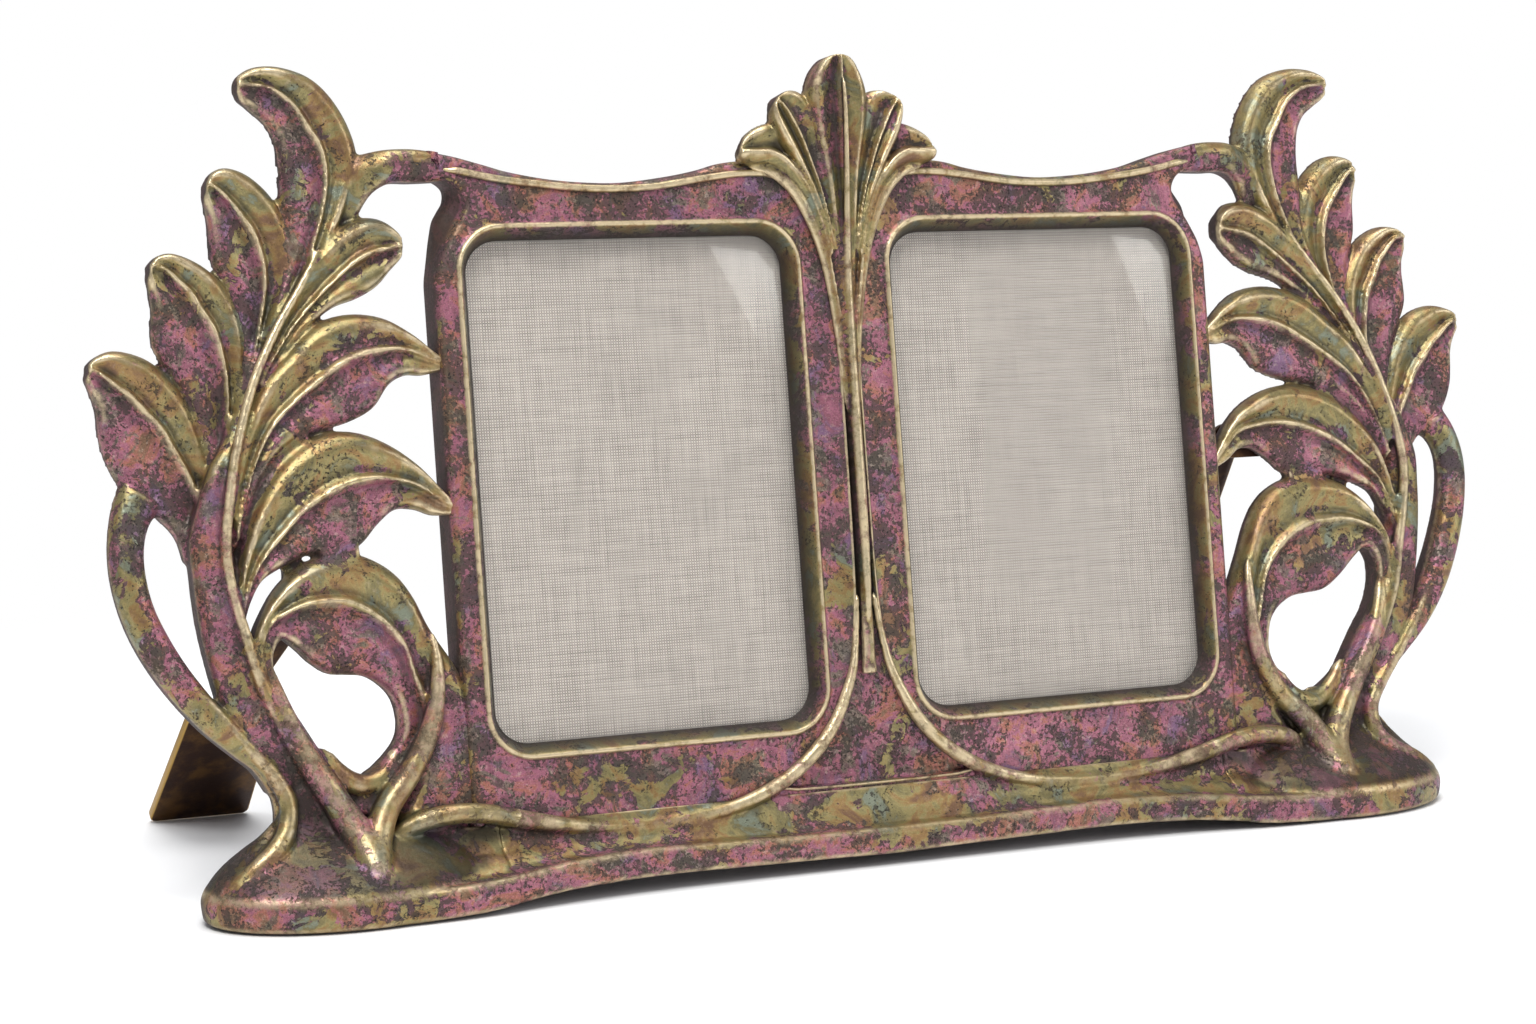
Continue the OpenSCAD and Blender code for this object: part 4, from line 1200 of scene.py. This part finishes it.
        # The brink's painted shade, in its groove and on its sides, fades low down
        sunk = self.hollow_outline()
        low = np.clip((sunk[:, 1] - self.fade_start) / self.fade_length, self.least_shade, 1)
        full = np.ones_like(low)
        steps = [(self.grow(sunk, amount), w, tone) for amount, w, tone in self.brink]
        brink, floor = self.add_steps(body, steps, np.stack([full, full, low, low], axis=1))
        for group in ((*fronts, brink), backs, (floor,)):
            index = [start + j for loop, start in group for j in range(len(loop))]
            for tri in tessellate_polygon([[Vector((u, v, 0)) for u, v in loop] for loop, _ in group]):
                body.faces.append(tuple(index[j] for j in tri))
        # The rims carry rubbed gold with a painted highlight on their front, painted shade on their back
        for side in Side:
            body.add_loft(*Cord(mirrored(side, self.rim), 1.0, 0.8, 0.6).rings(6))
        obj = body.to_object("front_casting")
        select_only(obj)
        bpy.ops.object.shade_smooth_by_angle(angle=math.radians(50))
        return hand_over(obj, "frame", "front_frame")


# Finishes


class Graph:
    """Small helper that adds shader nodes and links them."""

    def __init__(self, name: str) -> None:
        """Starts a material, with Object coordinates in millimetres at hand.

        Args:
            name: Name of the material.
        """
        self.material = bpy.data.materials.new(name)
        self.material.use_nodes = True
        self.tree = self.material.node_tree
        self.tree.nodes.clear()
        self.output = self.node("ShaderNodeOutputMaterial")
        coordinates = self.node("ShaderNodeTexCoord")
        scale = self.node("ShaderNodeVectorMath", operation="SCALE")
        self.fill(scale, Scale=1000)
        self.link(coordinates.outputs["Object"], scale.inputs[0])
        self.mm = scale.outputs[0]

    def link(self, value: Value, socket: bpy.types.NodeSocket) -> None:
        """Puts a number, a colour or another node's output into a socket.

        Args:
            value: Number, colour or socket.
            socket: Input that takes it.
        """
        if isinstance(value, bpy.types.NodeSocket):
            self.tree.links.new(value, socket)
        else:
            socket.default_value = value

    def fill(self, node: bpy.types.Node, **values: Value) -> None:
        """Fills sockets by their names, with an underscore for a space."""
        for key, value in values.items():
            self.link(value, node.inputs[key.replace("_", " ")])

    def node(self, kind: str, **settings: object) -> bpy.types.Node:
        """Adds a node with the given settings.

        Args:
            kind: Blender's name of the node.
            settings: Properties and their values.

        Returns:
            The node.
        """
        node = self.tree.nodes.new(kind)
        for key, value in settings.items():
            setattr(node, key, value)
        return node

    def noise(self, scale: float, detail: float = 3, rough: float = 0.55, vector: Value | None = None,
              distortion: float = 0) -> bpy.types.NodeSocket:
        """Noise with features of about 1 / scale millimetres.

        Args:
            scale: Features for each millimetre.
            detail: Octaves.
            rough: Weight of the finer octaves.
            vector: Coordinates, or none for the piece's millimetres.
            distortion: How far the pattern is torn.

        Returns:
            Noise from 0 to 1.
        """
        node = self.node("ShaderNodeTexNoise")
        self.fill(node, Vector=self.mm if vector is None else vector, Scale=scale)
        self.fill(node, Detail=detail, Roughness=rough, Distortion=distortion)
        return node.outputs["Fac"]

    def math(self, operation: str, a: Value, b: Value = 0.0, clamp: bool = False) -> bpy.types.NodeSocket:
        """Result of a sum with one or two numbers.

        Args:
            operation: Blender's name of the sum.
            a: First number.
            b: Second number.
            clamp: Whether the result is held between 0 and 1.

        Returns:
            The node's result.
        """
        node = self.node("ShaderNodeMath", operation=operation, use_clamp=clamp)
        self.link(a, node.inputs[0])
        self.link(b, node.inputs[1])
        return node.outputs[0]

    def times(self, a: Value, b: Value, clamp: bool = False) -> bpy.types.NodeSocket:
        """Product of two numbers."""
        return self.math("MULTIPLY", a, b, clamp)

    def plus(self, a: Value, b: Value, clamp: bool = False) -> bpy.types.NodeSocket:
        """Sum of two numbers."""
        return self.math("ADD", a, b, clamp)

    def step(self, value: Value, low: float, high: float) -> bpy.types.NodeSocket:
        """Smooth ramp from 0 at low to 1 at high; low may be the larger.

        Args:
            value: Number to read.
            low: Place of 0.
            high: Place of 1.

        Returns:
            The node's result.
        """
        node = self.node("ShaderNodeMapRange", interpolation_type="SMOOTHSTEP")
        flipped = low > high
        self.fill(node, Value=value, From_Min=min(low, high), From_Max=max(low, high),
                  To_Min=1.0 if flipped else 0.0, To_Max=0.0 if flipped else 1.0)
        return node.outputs["Result"]

    def mix(self, kind: str, first: int, share: Value, a: Value, b: Value) -> bpy.types.Node:
        """Mix node of one data type, whose values start at the given input.

        Args:
            kind: Data type.
            first: Input of the first value.
            share: Share of the second value.
            a: First value.
            b: Second value.

        Returns:
            The node.
        """
        node = self.node("ShaderNodeMix", data_type=kind)
        for value, socket in ((share, 0), (a, first), (b, first + 1)):
            self.link(value, node.inputs[socket])
        return node

    def blend(self, share: Value, a: Value, b: Value) -> bpy.types.NodeSocket:
        """Mixes two colours."""
        return self.mix("RGBA", 6, share, a, b).outputs[2]

    def lerp(self, share: Value, a: Value, b: Value) -> bpy.types.NodeSocket:
        """Mixes two numbers."""
        return self.mix("FLOAT", 2, share, a, b).outputs[0]

    def shaders(self, share: Value, a: Value, b: Value) -> None:
        """Ends the graph in a mix of two shaders.

        Args:
            share: Share of the second shader.
            a: First shader.
            b: Second shader.
        """
        mix = self.node("ShaderNodeMixShader")
        for socket, value in enumerate((share, a, b)):
            self.link(value, mix.inputs[socket])
        self.fill(self.output, Surface=mix.outputs[0])

    def ramp(self, value: Value, *stops: tuple[float, tuple]) -> bpy.types.NodeSocket:
        """Colour ramp through (place, colour) stops.

        Args:
            value: Number to read.
            stops: Places and colours in their order.

        Returns:
            The node's result.
        """
        node = self.node("ShaderNodeValToRGB")
        band = node.color_ramp
        while len(band.elements) < len(stops):
            band.elements.new(0.5)
        for element, (place, colour) in zip(band.elements, stops):
            element.position = place
            element.color = colour
        self.fill(node, Fac=value)
        return node.outputs["Color"]

    def tone(self) -> tuple[bpy.types.NodeSocket, ...]:
        """Gold line with its painted highlight, rolled gold zone, painted shade of grooves and painted shade
        of sides, from the attribute 'tone'.

        Returns:
            The four outputs.
        """
        tone = self.node("ShaderNodeAttribute", attribute_name="tone")
        split = self.node("ShaderNodeSeparateColor")
        self.link(tone.outputs["Color"], split.inputs[0])
        return (*split.outputs[:3], tone.outputs["Alpha"])

    def bump(self, height: Value, distance: float, strength: float = 1.0,
             under: Value | None = None) -> bpy.types.NodeSocket:
        """Normal bumped by a height, with the distance in millimetres.

        Args:
            height: Height from 0 to 1.
            distance: Millimetres that a height of 1 stands for.
            strength: Share of the bump.
            under: Normal to bump further, or none.

        Returns:
            The normal.
        """
        node = self.node("ShaderNodeBump")
        self.fill(node, Height=height, Distance=distance / 1000, Strength=strength)
        if under is not None:
            self.fill(node, Normal=under)
        return node.outputs["Normal"]

    def surface(self, **values: Value) -> bpy.types.Material:
        """Ends the graph in a principled surface with the given sockets.

        Args:
            values: Socket names and what goes into them.

        Returns:
            The material.
        """
        shader = self.node("ShaderNodeBsdfPrincipled")
        self.fill(shader, **values)
        self.fill(self.output, Surface=shader.outputs[0])
        return self.material


def srgb(r: int, g: int, b: int) -> tuple[float, float, float, float]:
    """Display colour 0 to 255 as a linear colour.

    Args:
        r: Red.
        g: Green.
        b: Blue.

    Returns:
        Linear red, green and blue, and a full alpha.
    """
    def linear(c: float) -> float:
        """One channel."""
        c /= 255
        return c / 12.92 if c <= 0.04045 else ((c + 0.055) / 1.055) ** 2.4

    return (linear(r), linear(g), linear(b), 1.0)


@dataclass(frozen=True)
class Patina:
    """Mottled rose and olive patina over cast bronze, rubbed to dull gold with a painted highlight on its
    lines, with painted shade in its grooves and on its sides.
    """

    name: str = "patina"
    violet: tuple = srgb(120, 88, 116)
    rose: tuple = srgb(138, 84, 98)
    pink: tuple = srgb(160, 98, 118)
    coral: tuple = srgb(164, 102, 88)
    brown: tuple = srgb(122, 92, 70)
    smoke: tuple = srgb(76, 66, 60)
    lichen: tuple = srgb(110, 108, 90)
    olive: tuple = srgb(118, 110, 76)
    sage: tuple = srgb(122, 128, 110)
    moss: tuple = srgb(150, 138, 92)
    dull_gold: tuple = srgb(150, 120, 76)
    # Gold of the rubbed lines, which also serves as their painted highlight
    gold: tuple = srgb(212, 194, 158)
    cream: tuple = srgb(206, 188, 170)
    fleck: tuple = srgb(62, 56, 50)
    pit: tuple = srgb(34, 28, 27)
    # Colours of painted shade: in grooves, coves and hollows, and on sides turned away from the front
    painted_shade: tuple = srgb(46, 40, 35)
    side: tuple = srgb(64, 51, 47)

    def make(self) -> bpy.types.Material:
        """Makes the material, which reads Object coordinates and the attribute 'tone'.

        Returns:
            The material.
        """
        g = Graph(self.name)
        line, zone, painted_shade, side = g.tone()
        # Rose field: patches of hue, then smoke
        field_colour = g.ramp(g.noise(0.1, 5, 0.66, distortion=0.8), (0.37, self.violet), (0.44, self.rose),
                              (0.51, self.pink), (0.575, self.coral), (0.64, self.brown))
        mottle, grain = g.noise(0.5, 6, 0.72), g.noise(2.6, 4, 0.7)
        smoke = g.step(g.noise(0.13, 6, 0.7, distortion=0.9), 0.525, 0.575)
        ash = g.ramp(g.noise(0.24, 5, 0.65), (0.42, self.smoke), (0.56, self.lichen))
        field_colour = g.blend(g.times(smoke, 0.8), field_colour, ash)
        # Olive flakes with crisp borders, mostly on the rolled zones
        cloud, torn = g.noise(0.06, 3, 0.5, distortion=0.5), g.noise(0.19, 7, 0.7, distortion=0.9)
        reach = g.plus(g.plus(g.times(cloud, 0.74), g.times(torn, 0.46)), g.times(zone, 0.25))
        flake = g.step(reach, 0.7, 0.715)
        rolled = g.ramp(g.noise(0.1, 5, 0.64, distortion=0.6), (0.38, self.sage), (0.43, self.olive),
                        (0.5, self.moss), (0.56, self.dull_gold), (0.63, self.brown))
        colour = g.blend(flake, field_colour, rolled)
        # Soft mottling and grain, calmer on the flakes
        calm = g.lerp(flake, 1.0, 0.45)
        for pattern, low, high, share, tint in (
            (mottle, 0.52, 0.3, 0.32, self.fleck), (mottle, 0.54, 0.72, 0.42, self.cream),
            (grain, 0.5, 0.34, 0.45, self.fleck), (grain, 0.56, 0.7, 0.4, self.cream),
        ):
            colour = g.blend(g.times(calm, g.times(g.step(pattern, low, high), share)), colour, tint)
        # Dark flecks in clusters and beside the flakes, and small pits
        border = g.times(g.step(reach, 0.64, 0.695), g.math("SUBTRACT", 1.0, flake))
        crowd = g.plus(g.noise(0.12, 4, 0.55), g.times(border, 0.14))
        crowd = g.math("SUBTRACT", crowd, g.times(flake, 0.15))
        flecks = g.step(g.plus(g.noise(0.95, 4, 0.66, distortion=0.4), g.times(crowd, 0.9)), 0.965, 1.0)
        dots = g.step(g.plus(g.noise(1.9, 2, 0.5), g.times(crowd, 0.3)), 0.79, 0.83)
        # Flecks and pits, painted shade on the sides and in the grooves, then the haze and gold of the
        # rubbed lines, which also carry a painted highlight
        rub = g.times(line, g.lerp(g.step(g.noise(0.35, 5, 0.7), 0.3, 0.6), 0.4, 1.0), True)
        for share, tint in (
            (g.times(flecks, 0.8), self.fleck),
            (g.times(dots, 0.9), self.pit),
            (g.times(g.step(side, 0.2, 0.95), 0.88), self.side),
            (g.times(g.step(painted_shade, 0.1, 0.9), 0.88), self.painted_shade),
            (g.times(zone, g.times(g.step(line, 0.05, 0.5), 0.5)), self.dull_gold),
            (g.step(rub, 0.15, 0.85), self.gold),
        ):
            colour = g.blend(share, colour, tint)
        normal = g.bump(g.times(g.math("MAXIMUM", dots, g.times(flecks, 0.4)), -1.0), 0.3, 0.8)
        normal = g.bump(g.noise(1.4, 5, 0.7), 0.14, 0.6, normal)
        normal = g.bump(g.noise(0.16, 2), 0.5, 0.35, normal)
        rough = g.lerp(rub, g.lerp(flake, 0.42, 0.35), 0.3)
        rough = g.plus(rough, g.times(g.math("MAXIMUM", flecks, g.math("MAXIMUM", dots, side)), 0.22), True)
        metal = g.lerp(rub, g.lerp(flake, 0.42, 0.66), 0.92)
        return g.surface(Base_Color=colour, Metallic=metal, Roughness=rough, Normal=normal)


@dataclass(frozen=True)
class Metal:
    """Aged plain metal for legs and hardware."""

    name: str
    dark: tuple
    light: tuple
    roughness: float = 0.42
    rubbed: tuple = srgb(176, 142, 78)

    def make(self) -> bpy.types.Material:
        """Makes the material, with cloudy tarnish and faint scratches.

        Returns:
            The material.
        """
        g = Graph(self.name)
        line, *_ = g.tone()
        cloud = g.noise(0.12, 5, 0.65)
        colour = g.blend(g.step(cloud, 0.4, 0.7), self.dark, self.light)
        colour = g.blend(g.times(line, 0.85), colour, self.rubbed)
        rough = g.plus(g.times(cloud, 0.25), self.roughness - 0.1)
        normal = g.bump(g.noise(0.9, 5, 0.7), 0.1, 0.5)
        return g.surface(Base_Color=colour, Metallic=0.85, Roughness=rough, Normal=normal)


@dataclass(frozen=True)
class Linen:
    """Plain-woven linen on the leaning card."""

    name: str = "linen"
    light: tuple = srgb(232, 217, 208)
    dark: tuple = srgb(96, 86, 79)
    pitch: float = 0.66

    def make(self) -> bpy.types.Material:
        """Makes the material: crossed threads that thicken and thin, with a soft mottle.

        Returns:
            The material.
        """
        g = Graph(self.name)
        turn = g.node("ShaderNodeMapping")
        g.fill(turn, Vector=g.mm, Rotation=(SIZES.tilt, 0, 0))
        split = g.node("ShaderNodeSeparateXYZ")
        g.link(turn.outputs[0], split.inputs[0])

        def threads(value: Value, other: Value, seed: float) -> tuple[Value, Value]:
            """Wave across one set of threads, and the noise that thickens them.

            Args:
                value: Coordinate across the threads.
                other: Coordinate along them.
                seed: Place in the noise.

            Returns:
                The wave and the noise.
            """
            wobble = g.node("ShaderNodeCombineXYZ")
            g.fill(wobble, X=g.times(value, 0.9), Y=g.times(other, 0.06), Z=seed)
            slub = g.noise(1.0, 3, 0.6, wobble.outputs[0])
            return g.math("SINE", g.plus(g.times(value, 2 * math.pi / self.pitch), g.times(slub, 3.0))), slub

        warp, warp_slub = threads(split.outputs[0], split.outputs[2], 1.0)
        weft, weft_slub = threads(split.outputs[2], split.outputs[0], 5.0)
        height = g.plus(g.times(g.times(warp, weft), 0.5), g.times(g.plus(warp, weft), 0.3))
        shade = g.plus(g.plus(g.times(height, 0.95), 0.1), g.times(g.plus(warp_slub, weft_slub), 0.46))
        shade = g.plus(shade, g.times(g.noise(0.05, 3), 0.14), True)
        colour = g.blend(shade, self.dark, self.light)
        return g.surface(Base_Color=colour, Roughness=0.9, Normal=g.bump(height, 0.12, 0.6))


@dataclass(frozen=True)
class Glass:
    """Thin clear pane that only mirrors at its surface."""

    name: str = "clear_glass"
    tint: tuple = (0.97, 0.985, 0.98, 1)
    ior: float = 1.45
    shine: float = 2.0

    def make(self) -> bpy.types.Material:
        """Makes the material, whose reflection grows toward a glancing view.

        Returns:
            The material.
        """
        g = Graph(self.name)
        clear = g.node("ShaderNodeBsdfTransparent")
        g.fill(clear, Color=self.tint)
        mirror = g.node("ShaderNodeBsdfGlossy")
        g.fill(mirror, Roughness=g.plus(g.times(g.noise(0.03), 0.02), 0.01))
        facing = g.node("ShaderNodeFresnel")
        g.fill(facing, IOR=self.ior)
        outside = g.math("SUBTRACT", 1.0, g.node("ShaderNodeNewGeometry").outputs["Backfacing"])
        share = g.times(g.times(facing.outputs[0], outside), self.shine)
        g.shaders(share, clear.outputs[0], mirror.outputs[0])
        return g.material


@dataclass(frozen=True)
class Fibre:
    """Felt, board and stained wood: a soft two-colour grain."""

    name: str
    dark: tuple
    light: tuple
    stretch: tuple = (1.0, 1.0, 1.0)
    scale: float = 1.2

    def make(self) -> bpy.types.Material:
        """Makes the material, with its grain drawn out by the stretch.

        Returns:
            The material.
        """
        g = Graph(self.name)
        grain = g.node("ShaderNodeVectorMath", operation="MULTIPLY")
        g.link(g.mm, grain.inputs[0])
        g.link(self.stretch, grain.inputs[1])
        fibres = g.noise(self.scale, 5, 0.7, grain.outputs[0])
        colour = g.blend(g.step(fibres, 0.3, 0.7), self.dark, self.light)
        return g.surface(Base_Color=colour, Roughness=0.85, Normal=g.bump(fibres, 0.15, 0.5))


# Legs, panes and carried-over parts


class Leg:
    """Flat easel leg with rubbed edges."""

    # Sizes of the part's source: shank, shoe and head round the pin
    shank_w = 5.0
    shoe_w = 26.0
    shoe_top_w = 23.0
    shoe_l = 49.0
    shoe_x = 136.0
    shoe_r = 1.8
    head = 5.4
    neck = 6.0
    rub = 0.5

    def __init__(self, side: Side) -> None:
        """Keeps the half of the frame that the leg is on."""
        self.side = side

    def outline(self) -> list[tuple[float, float]]:
        """Outline hanging from the pin, with the shoe's corners rounded.

        Returns:
            Rows of (x, z) in millimetres from the pin, for the right leg.
        """
        length = SIZES.pin_world[1] / math.cos(math.radians(SIZES.leg_angle))
        step, flare, r = self.shoe_x - SIZES.hinge_x, self.shoe_l / 16, self.shoe_r
        shank, top = self.shank_w / 2, self.shoe_top_w / 2
        low = -length + SIZES.leg_t / 2
        right = [(step + shank, self.shoe_l - length), (step + top - 1, self.shoe_l - flare * .75 - length),
                 (step + top, self.shoe_l - flare * 1.3 - length)]
        right += [(step + self.shoe_w / 2 - r + r * math.cos(a), low + r - r * math.sin(a))
                  for a in np.linspace(0, math.pi / 2, 6)]
        left = [(2 * step - x, y) for x, y in reversed(right)]
        right = [(shank, self.head), (shank, -self.neck), *right]
        left += [(-shank, -self.neck), (-shank, self.head)]
        return right + left

    def build(self) -> bpy.types.Object:
        """Builds the plate from its outline, bevels it and turns it open.

        Returns:
            The finished piece.
        """
        shape, half_t = self.outline(), SIZES.leg_t / 2
        body = Body()
        rings = [np.array([(self.side.value * x, y, z) for x, z in shape]) / 1000 for y in (-half_t, half_t)]
        body.add_loft(rings, [np.zeros((len(shape), 4))] * 2)
        obj = body.to_object(f"{self.side.word}_leg_plate")
        bevel = obj.modifiers.new("rub", "BEVEL")
        bevel.width = self.rub / 1000
        bevel.segments = 3
        bevel.limit_method = "ANGLE"
        apply_modifiers(obj)
        pin_y, pin_z = SIZES.pin_world
        pin = Vector((self.side.value * SIZES.hinge_x, pin_y - SIZES.origin_y, pin_z)) / 1000
        edge = (np.abs(coords(obj)[:, 1]) * 1000 < half_t - 0.05).astype(float)
        obj.data.transform(Matrix.Translation(pin) @ Matrix.Rotation(math.radians(SIZES.leg_angle), 4, "X"))
        set_tones(obj, np.stack([edge, edge, 0 * edge, 0 * edge], axis=1))
        select_only(obj)
        bpy.ops.object.shade_smooth_by_angle(angle=math.radians(40))
        return hand_over(obj, f"{self.side.word}_leg", f"{self.side.word}_leg")


@dataclass(frozen=True)
class Pane:
    """Flat sheet in a window's recess, with softened edges."""

    kind: str
    finish: str
    slot: str
    front: float
    back: float
    gap: float
    recess: float = 2.5
    corner: float = 4.6
    soft: float = 0.25
    lip: float = 0.2

    def build(self, side: Side) -> bpy.types.Object:
        """Builds the sheet of one window, between two depths behind the lips.

        Args:
            side: Half of the frame.

        Returns:
            The finished piece.
        """
        body = Body()
        rings = []
        low, high = self.front + self.lip, self.back - self.lip
        for inset, depth in ((self.soft, self.front), (0, low), (0, high), (self.soft, self.back)):
            loop = window_loop(side, self.recess - self.gap - inset, self.corner - inset, 6)
            rings.append(flat_ring(loop, depth))
        body.add_loft(rings, [np.zeros((len(ring), 4)) for ring in rings])
        obj = body.to_object(f"{side.word}_{self.kind}_sheet")
        return hand_over(obj, "frame", f"{side.word}_{self.kind}")


PANES = (
    Pane("glass", "clear_glass", "glass", 4.92, 6.62, 0.3),
    Pane("card", "linen", "linen", 6.74, 7.66, 1.0),
)


# Stage


@dataclass(frozen=True)
class Glint:
    """Bright card that only mirrors see, placed so that one glass shows it as a streak.

    corners holds (u, v, strength) on the glass; distance is from the glass to the card.
    """

    name: str
    corners: tuple
    distance: float = 0.5
    strength: float = 4.0

    def build(self, eye: Vector) -> None:
        """Builds the card for a camera at the given place.

        Args:
            eye: Place of the camera, in metres.
        """
        normal = Vector((0, -math.cos(SIZES.tilt), math.sin(SIZES.tilt)))
        points = []
        for p in map(Vector, face_to_world(np.array([(u, PANES[0].front, v) for u, v, _ in self.corners]))):
            ray = (p - eye).normalized()
            points.append(p + (ray - 2 * ray.dot(normal) * normal) * self.distance)
        mesh = bpy.data.meshes.new(self.name)
        mesh.from_pydata(points, [], [tuple(range(len(points)))])
        layer = mesh.attributes.new("glow", "FLOAT", "POINT")
        layer.data.foreach_set("value", [share for _, _, share in self.corners])
        obj = bpy.data.objects.new(self.name, mesh)
        bpy.context.scene.collection.objects.link(obj)
        g = Graph(self.name)
        glow = g.node("ShaderNodeAttribute", attribute_name="glow")
        light = g.node("ShaderNodeEmission")
        g.fill(light, Strength=g.times(glow.outputs["Fac"], self.strength))
        g.fill(g.output, Surface=light.outputs[0])
        mesh.materials.append(g.material)
        for flag in ("camera", "diffuse", "transmission", "volume_scatter", "shadow"):
            setattr(obj, f"visible_{flag}", False)
        log.info("%s: %d corners", self.name, len(points))


GLINTS = (
    Glint("left_glint", ((-33.5, 151.5, .9), (-21, 150, 1), (-17, 145, 1), (-16, 137, .8),
                         (-16.2, 122, .15), (-19.5, 122, .1), (-24, 132, .5))),
    Glint("right_glint", ((80, 152, .9), (91, 150.5, 1), (94.5, 146, 1), (95.2, 138, .8), (95.2, 120, .15),
                          (92, 120, .1), (87.5, 132, .5))),
)


@dataclass(frozen=True)
class Lamp:
    """Round area light, in metres and watts, aimed at the middle of the frame."""

    name: str
    place: tuple[float, float, float]
    power: float
    size: float
    aim: tuple[float, float, float] = (0, 0, 0.09)

    def build(self) -> None:
        """Adds the light."""
        lamp = bpy.data.lights.new(self.name, "AREA")
        lamp.shape = "DISK"
        lamp.size = self.size
        lamp.energy = self.power
        obj = bpy.data.objects.new(self.name, lamp)
        bpy.context.scene.collection.objects.link(obj)
        obj.location = self.place
        obj.rotation_euler = (Vector(self.aim) - obj.location).to_track_quat("-Z", "Y").to_euler()


LAMPS = (
    Lamp("key", (-0.5, -0.75, 1.3), 16.5, 0.7),
    Lamp("top", (0.05, 0.1, 1.6), 15.0, 1.1),
    Lamp("fill", (1.2, -1.0, 0.7), 6.0, 0.9),
)


class Stage:
    """Floor, backdrop, lights and camera at the photograph's viewing angle."""

    # Camera in degrees, millimetres from the lips at the floor, and pixels of the photograph
    azimuth = -25.998
    elevation = 7.158
    distance = 802.466
    target = (-31.931, 0.0, 87.376)
    focal_px = 3400.0
    width_px = 1536.0
    sensor = 36.0
    # Side of the floor in metres, and millimetres over which it fades to white
    floor_size = 8
    fade = (200, 420)
    # Strength and colour of the surrounding light
    soft_light = 0.42
    soft_tint = (0.93, 0.95, 1.0, 1)

    def build(self) -> None:
        """Builds everything that isn't part of the object."""
        self.floor()
        self.world()
        for lamp in LAMPS:
            lamp.build()
        eye = self.camera()
        for glint in GLINTS:
            glint.build(eye)
        bpy.context.scene.view_settings.view_transform = "Standard"
        log.info("stage: %d lamps, %d glints", len(LAMPS), len(GLINTS))

    def floor(self) -> None:
        """Adds the pale floor, which keeps the shadow and turns white farther off."""
        bpy.ops.mesh.primitive_plane_add(size=self.floor_size)
        floor = bpy.context.active_object
        floor.name = "floor"
        g = Graph("pale_floor")
        diffuse = g.node("ShaderNodeBsdfDiffuse")
        g.fill(diffuse, Color=g.blend(g.noise(0.002), (0.88, 0.88, 0.88, 1), (0.9, 0.9, 0.9, 1)))
        white = g.node("ShaderNodeEmission")
        distance = g.node("ShaderNodeVectorMath", operation="LENGTH")
        g.link(g.mm, distance.inputs[0])
        seen = g.node("ShaderNodeLightPath").outputs["Is Camera Ray"]
        far = g.times(g.step(distance.outputs["Value"], *self.fade), seen)
        g.shaders(far, diffuse.outputs[0], white.outputs[0])
        floor.data.materials.append(g.material)

    def world(self) -> None:
        """Sets soft light all round, which the camera sees as plain white."""
        world = bpy.data.worlds.new("studio")
        bpy.context.scene.world = world
        world.use_nodes = True
        tree = world.node_tree
        tree.nodes.clear()
        path = tree.nodes.new("ShaderNodeLightPath")
        mix = tree.nodes.new("ShaderNodeMixShader")
        tree.links.new(path.outputs["Is Camera Ray"], mix.inputs[0])
        for socket, tint, strength in ((1, self.soft_tint, self.soft_light), (2, (1, 1, 1, 1), 1.0)):
            light = tree.nodes.new("ShaderNodeBackground")
            light.inputs["Color"].default_value = tint
            light.inputs["Strength"].default_value = strength
            tree.links.new(light.outputs[0], mix.inputs[socket])
        tree.links.new(mix.outputs[0], tree.nodes.new("ShaderNodeOutputWorld").inputs["Surface"])

    def camera(self) -> Vector:
        """Places the camera.

        Returns:
            Its place in metres.
        """
        a, e = math.radians(self.azimuth), math.radians(self.elevation)
        back = Vector((math.sin(a) * math.cos(e), -math.cos(a) * math.cos(e), math.sin(e)))
        data = bpy.data.cameras.new("camera")
        data.sensor_width = self.sensor
        data.lens = self.focal_px / self.width_px * self.sensor
        data.clip_end = 20
        obj = bpy.data.objects.new("camera", data)
        bpy.context.scene.collection.objects.link(obj)
        obj.location = Vector(floor_to_world(np.array(self.target))) + back * (self.distance / 1000)
        obj.rotation_euler = back.to_track_quat("Z", "Y").to_euler()
        bpy.context.scene.camera = obj
        return obj.location.copy()


FINISHES = (
    Patina(), Linen(), Glass(),
    Metal("dark_bronze", srgb(58, 38, 30), srgb(104, 74, 40)),
    Metal("aged_brass", srgb(112, 88, 44), srgb(170, 140, 80), 0.36),
    Fibre("packing", srgb(104, 86, 66), srgb(140, 120, 94)),
    Fibre("stained_wood", srgb(46, 30, 22), srgb(78, 54, 38), (0.5, 1, 0.04)),
    Fibre("felt", srgb(38, 28, 20), srgb(66, 50, 38)),
)
CARRIED = {
    "packing": ("left_packing", "right_packing"),
    "stained_wood": ("left_back_board", "right_back_board"),
    "felt": ("foot_pads",),
    "dark_bronze": ("left_leg_bracket", "right_leg_bracket", "left_leg", "right_leg"),
    "aged_brass": ("turn_button_screws", "bracket_screws", "left_leg_pin", "right_leg_pin",
                   *(f"{side.word}_turn_button_{k}" for side in Side for k in range(1, 5))),
}


def dress(materials: dict[str, bpy.types.Material]) -> None:
    """Gives each carried-over node its finish.

    Args:
        materials: Finished materials by name.
    """
    for name, nodes in CARRIED.items():
        for node in nodes:
            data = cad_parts[node].data
            data.materials.clear()
            data.materials.append(materials[name])
            log.info("%s: %s", node, name)


def main() -> None:
    """Builds the dressed frame and its stage, in order."""
    logging.basicConfig(level=logging.INFO)
    materials = {finish.name: finish.make() for finish in FINISHES}
    dress(materials)
    for pane in PANES:
        for side in Side:
            pane.build(side).data.materials.append(materials[pane.finish])
    for part in (Front(), Base(), Crest(), *map(Wing, Side)):
        part.build().data.materials.append(materials["patina"])
    for side in Side:
        Leg(side).build().data.materials.append(materials["dark_bronze"])
    Stage().build()


if __name__ == "__main__":
    main()
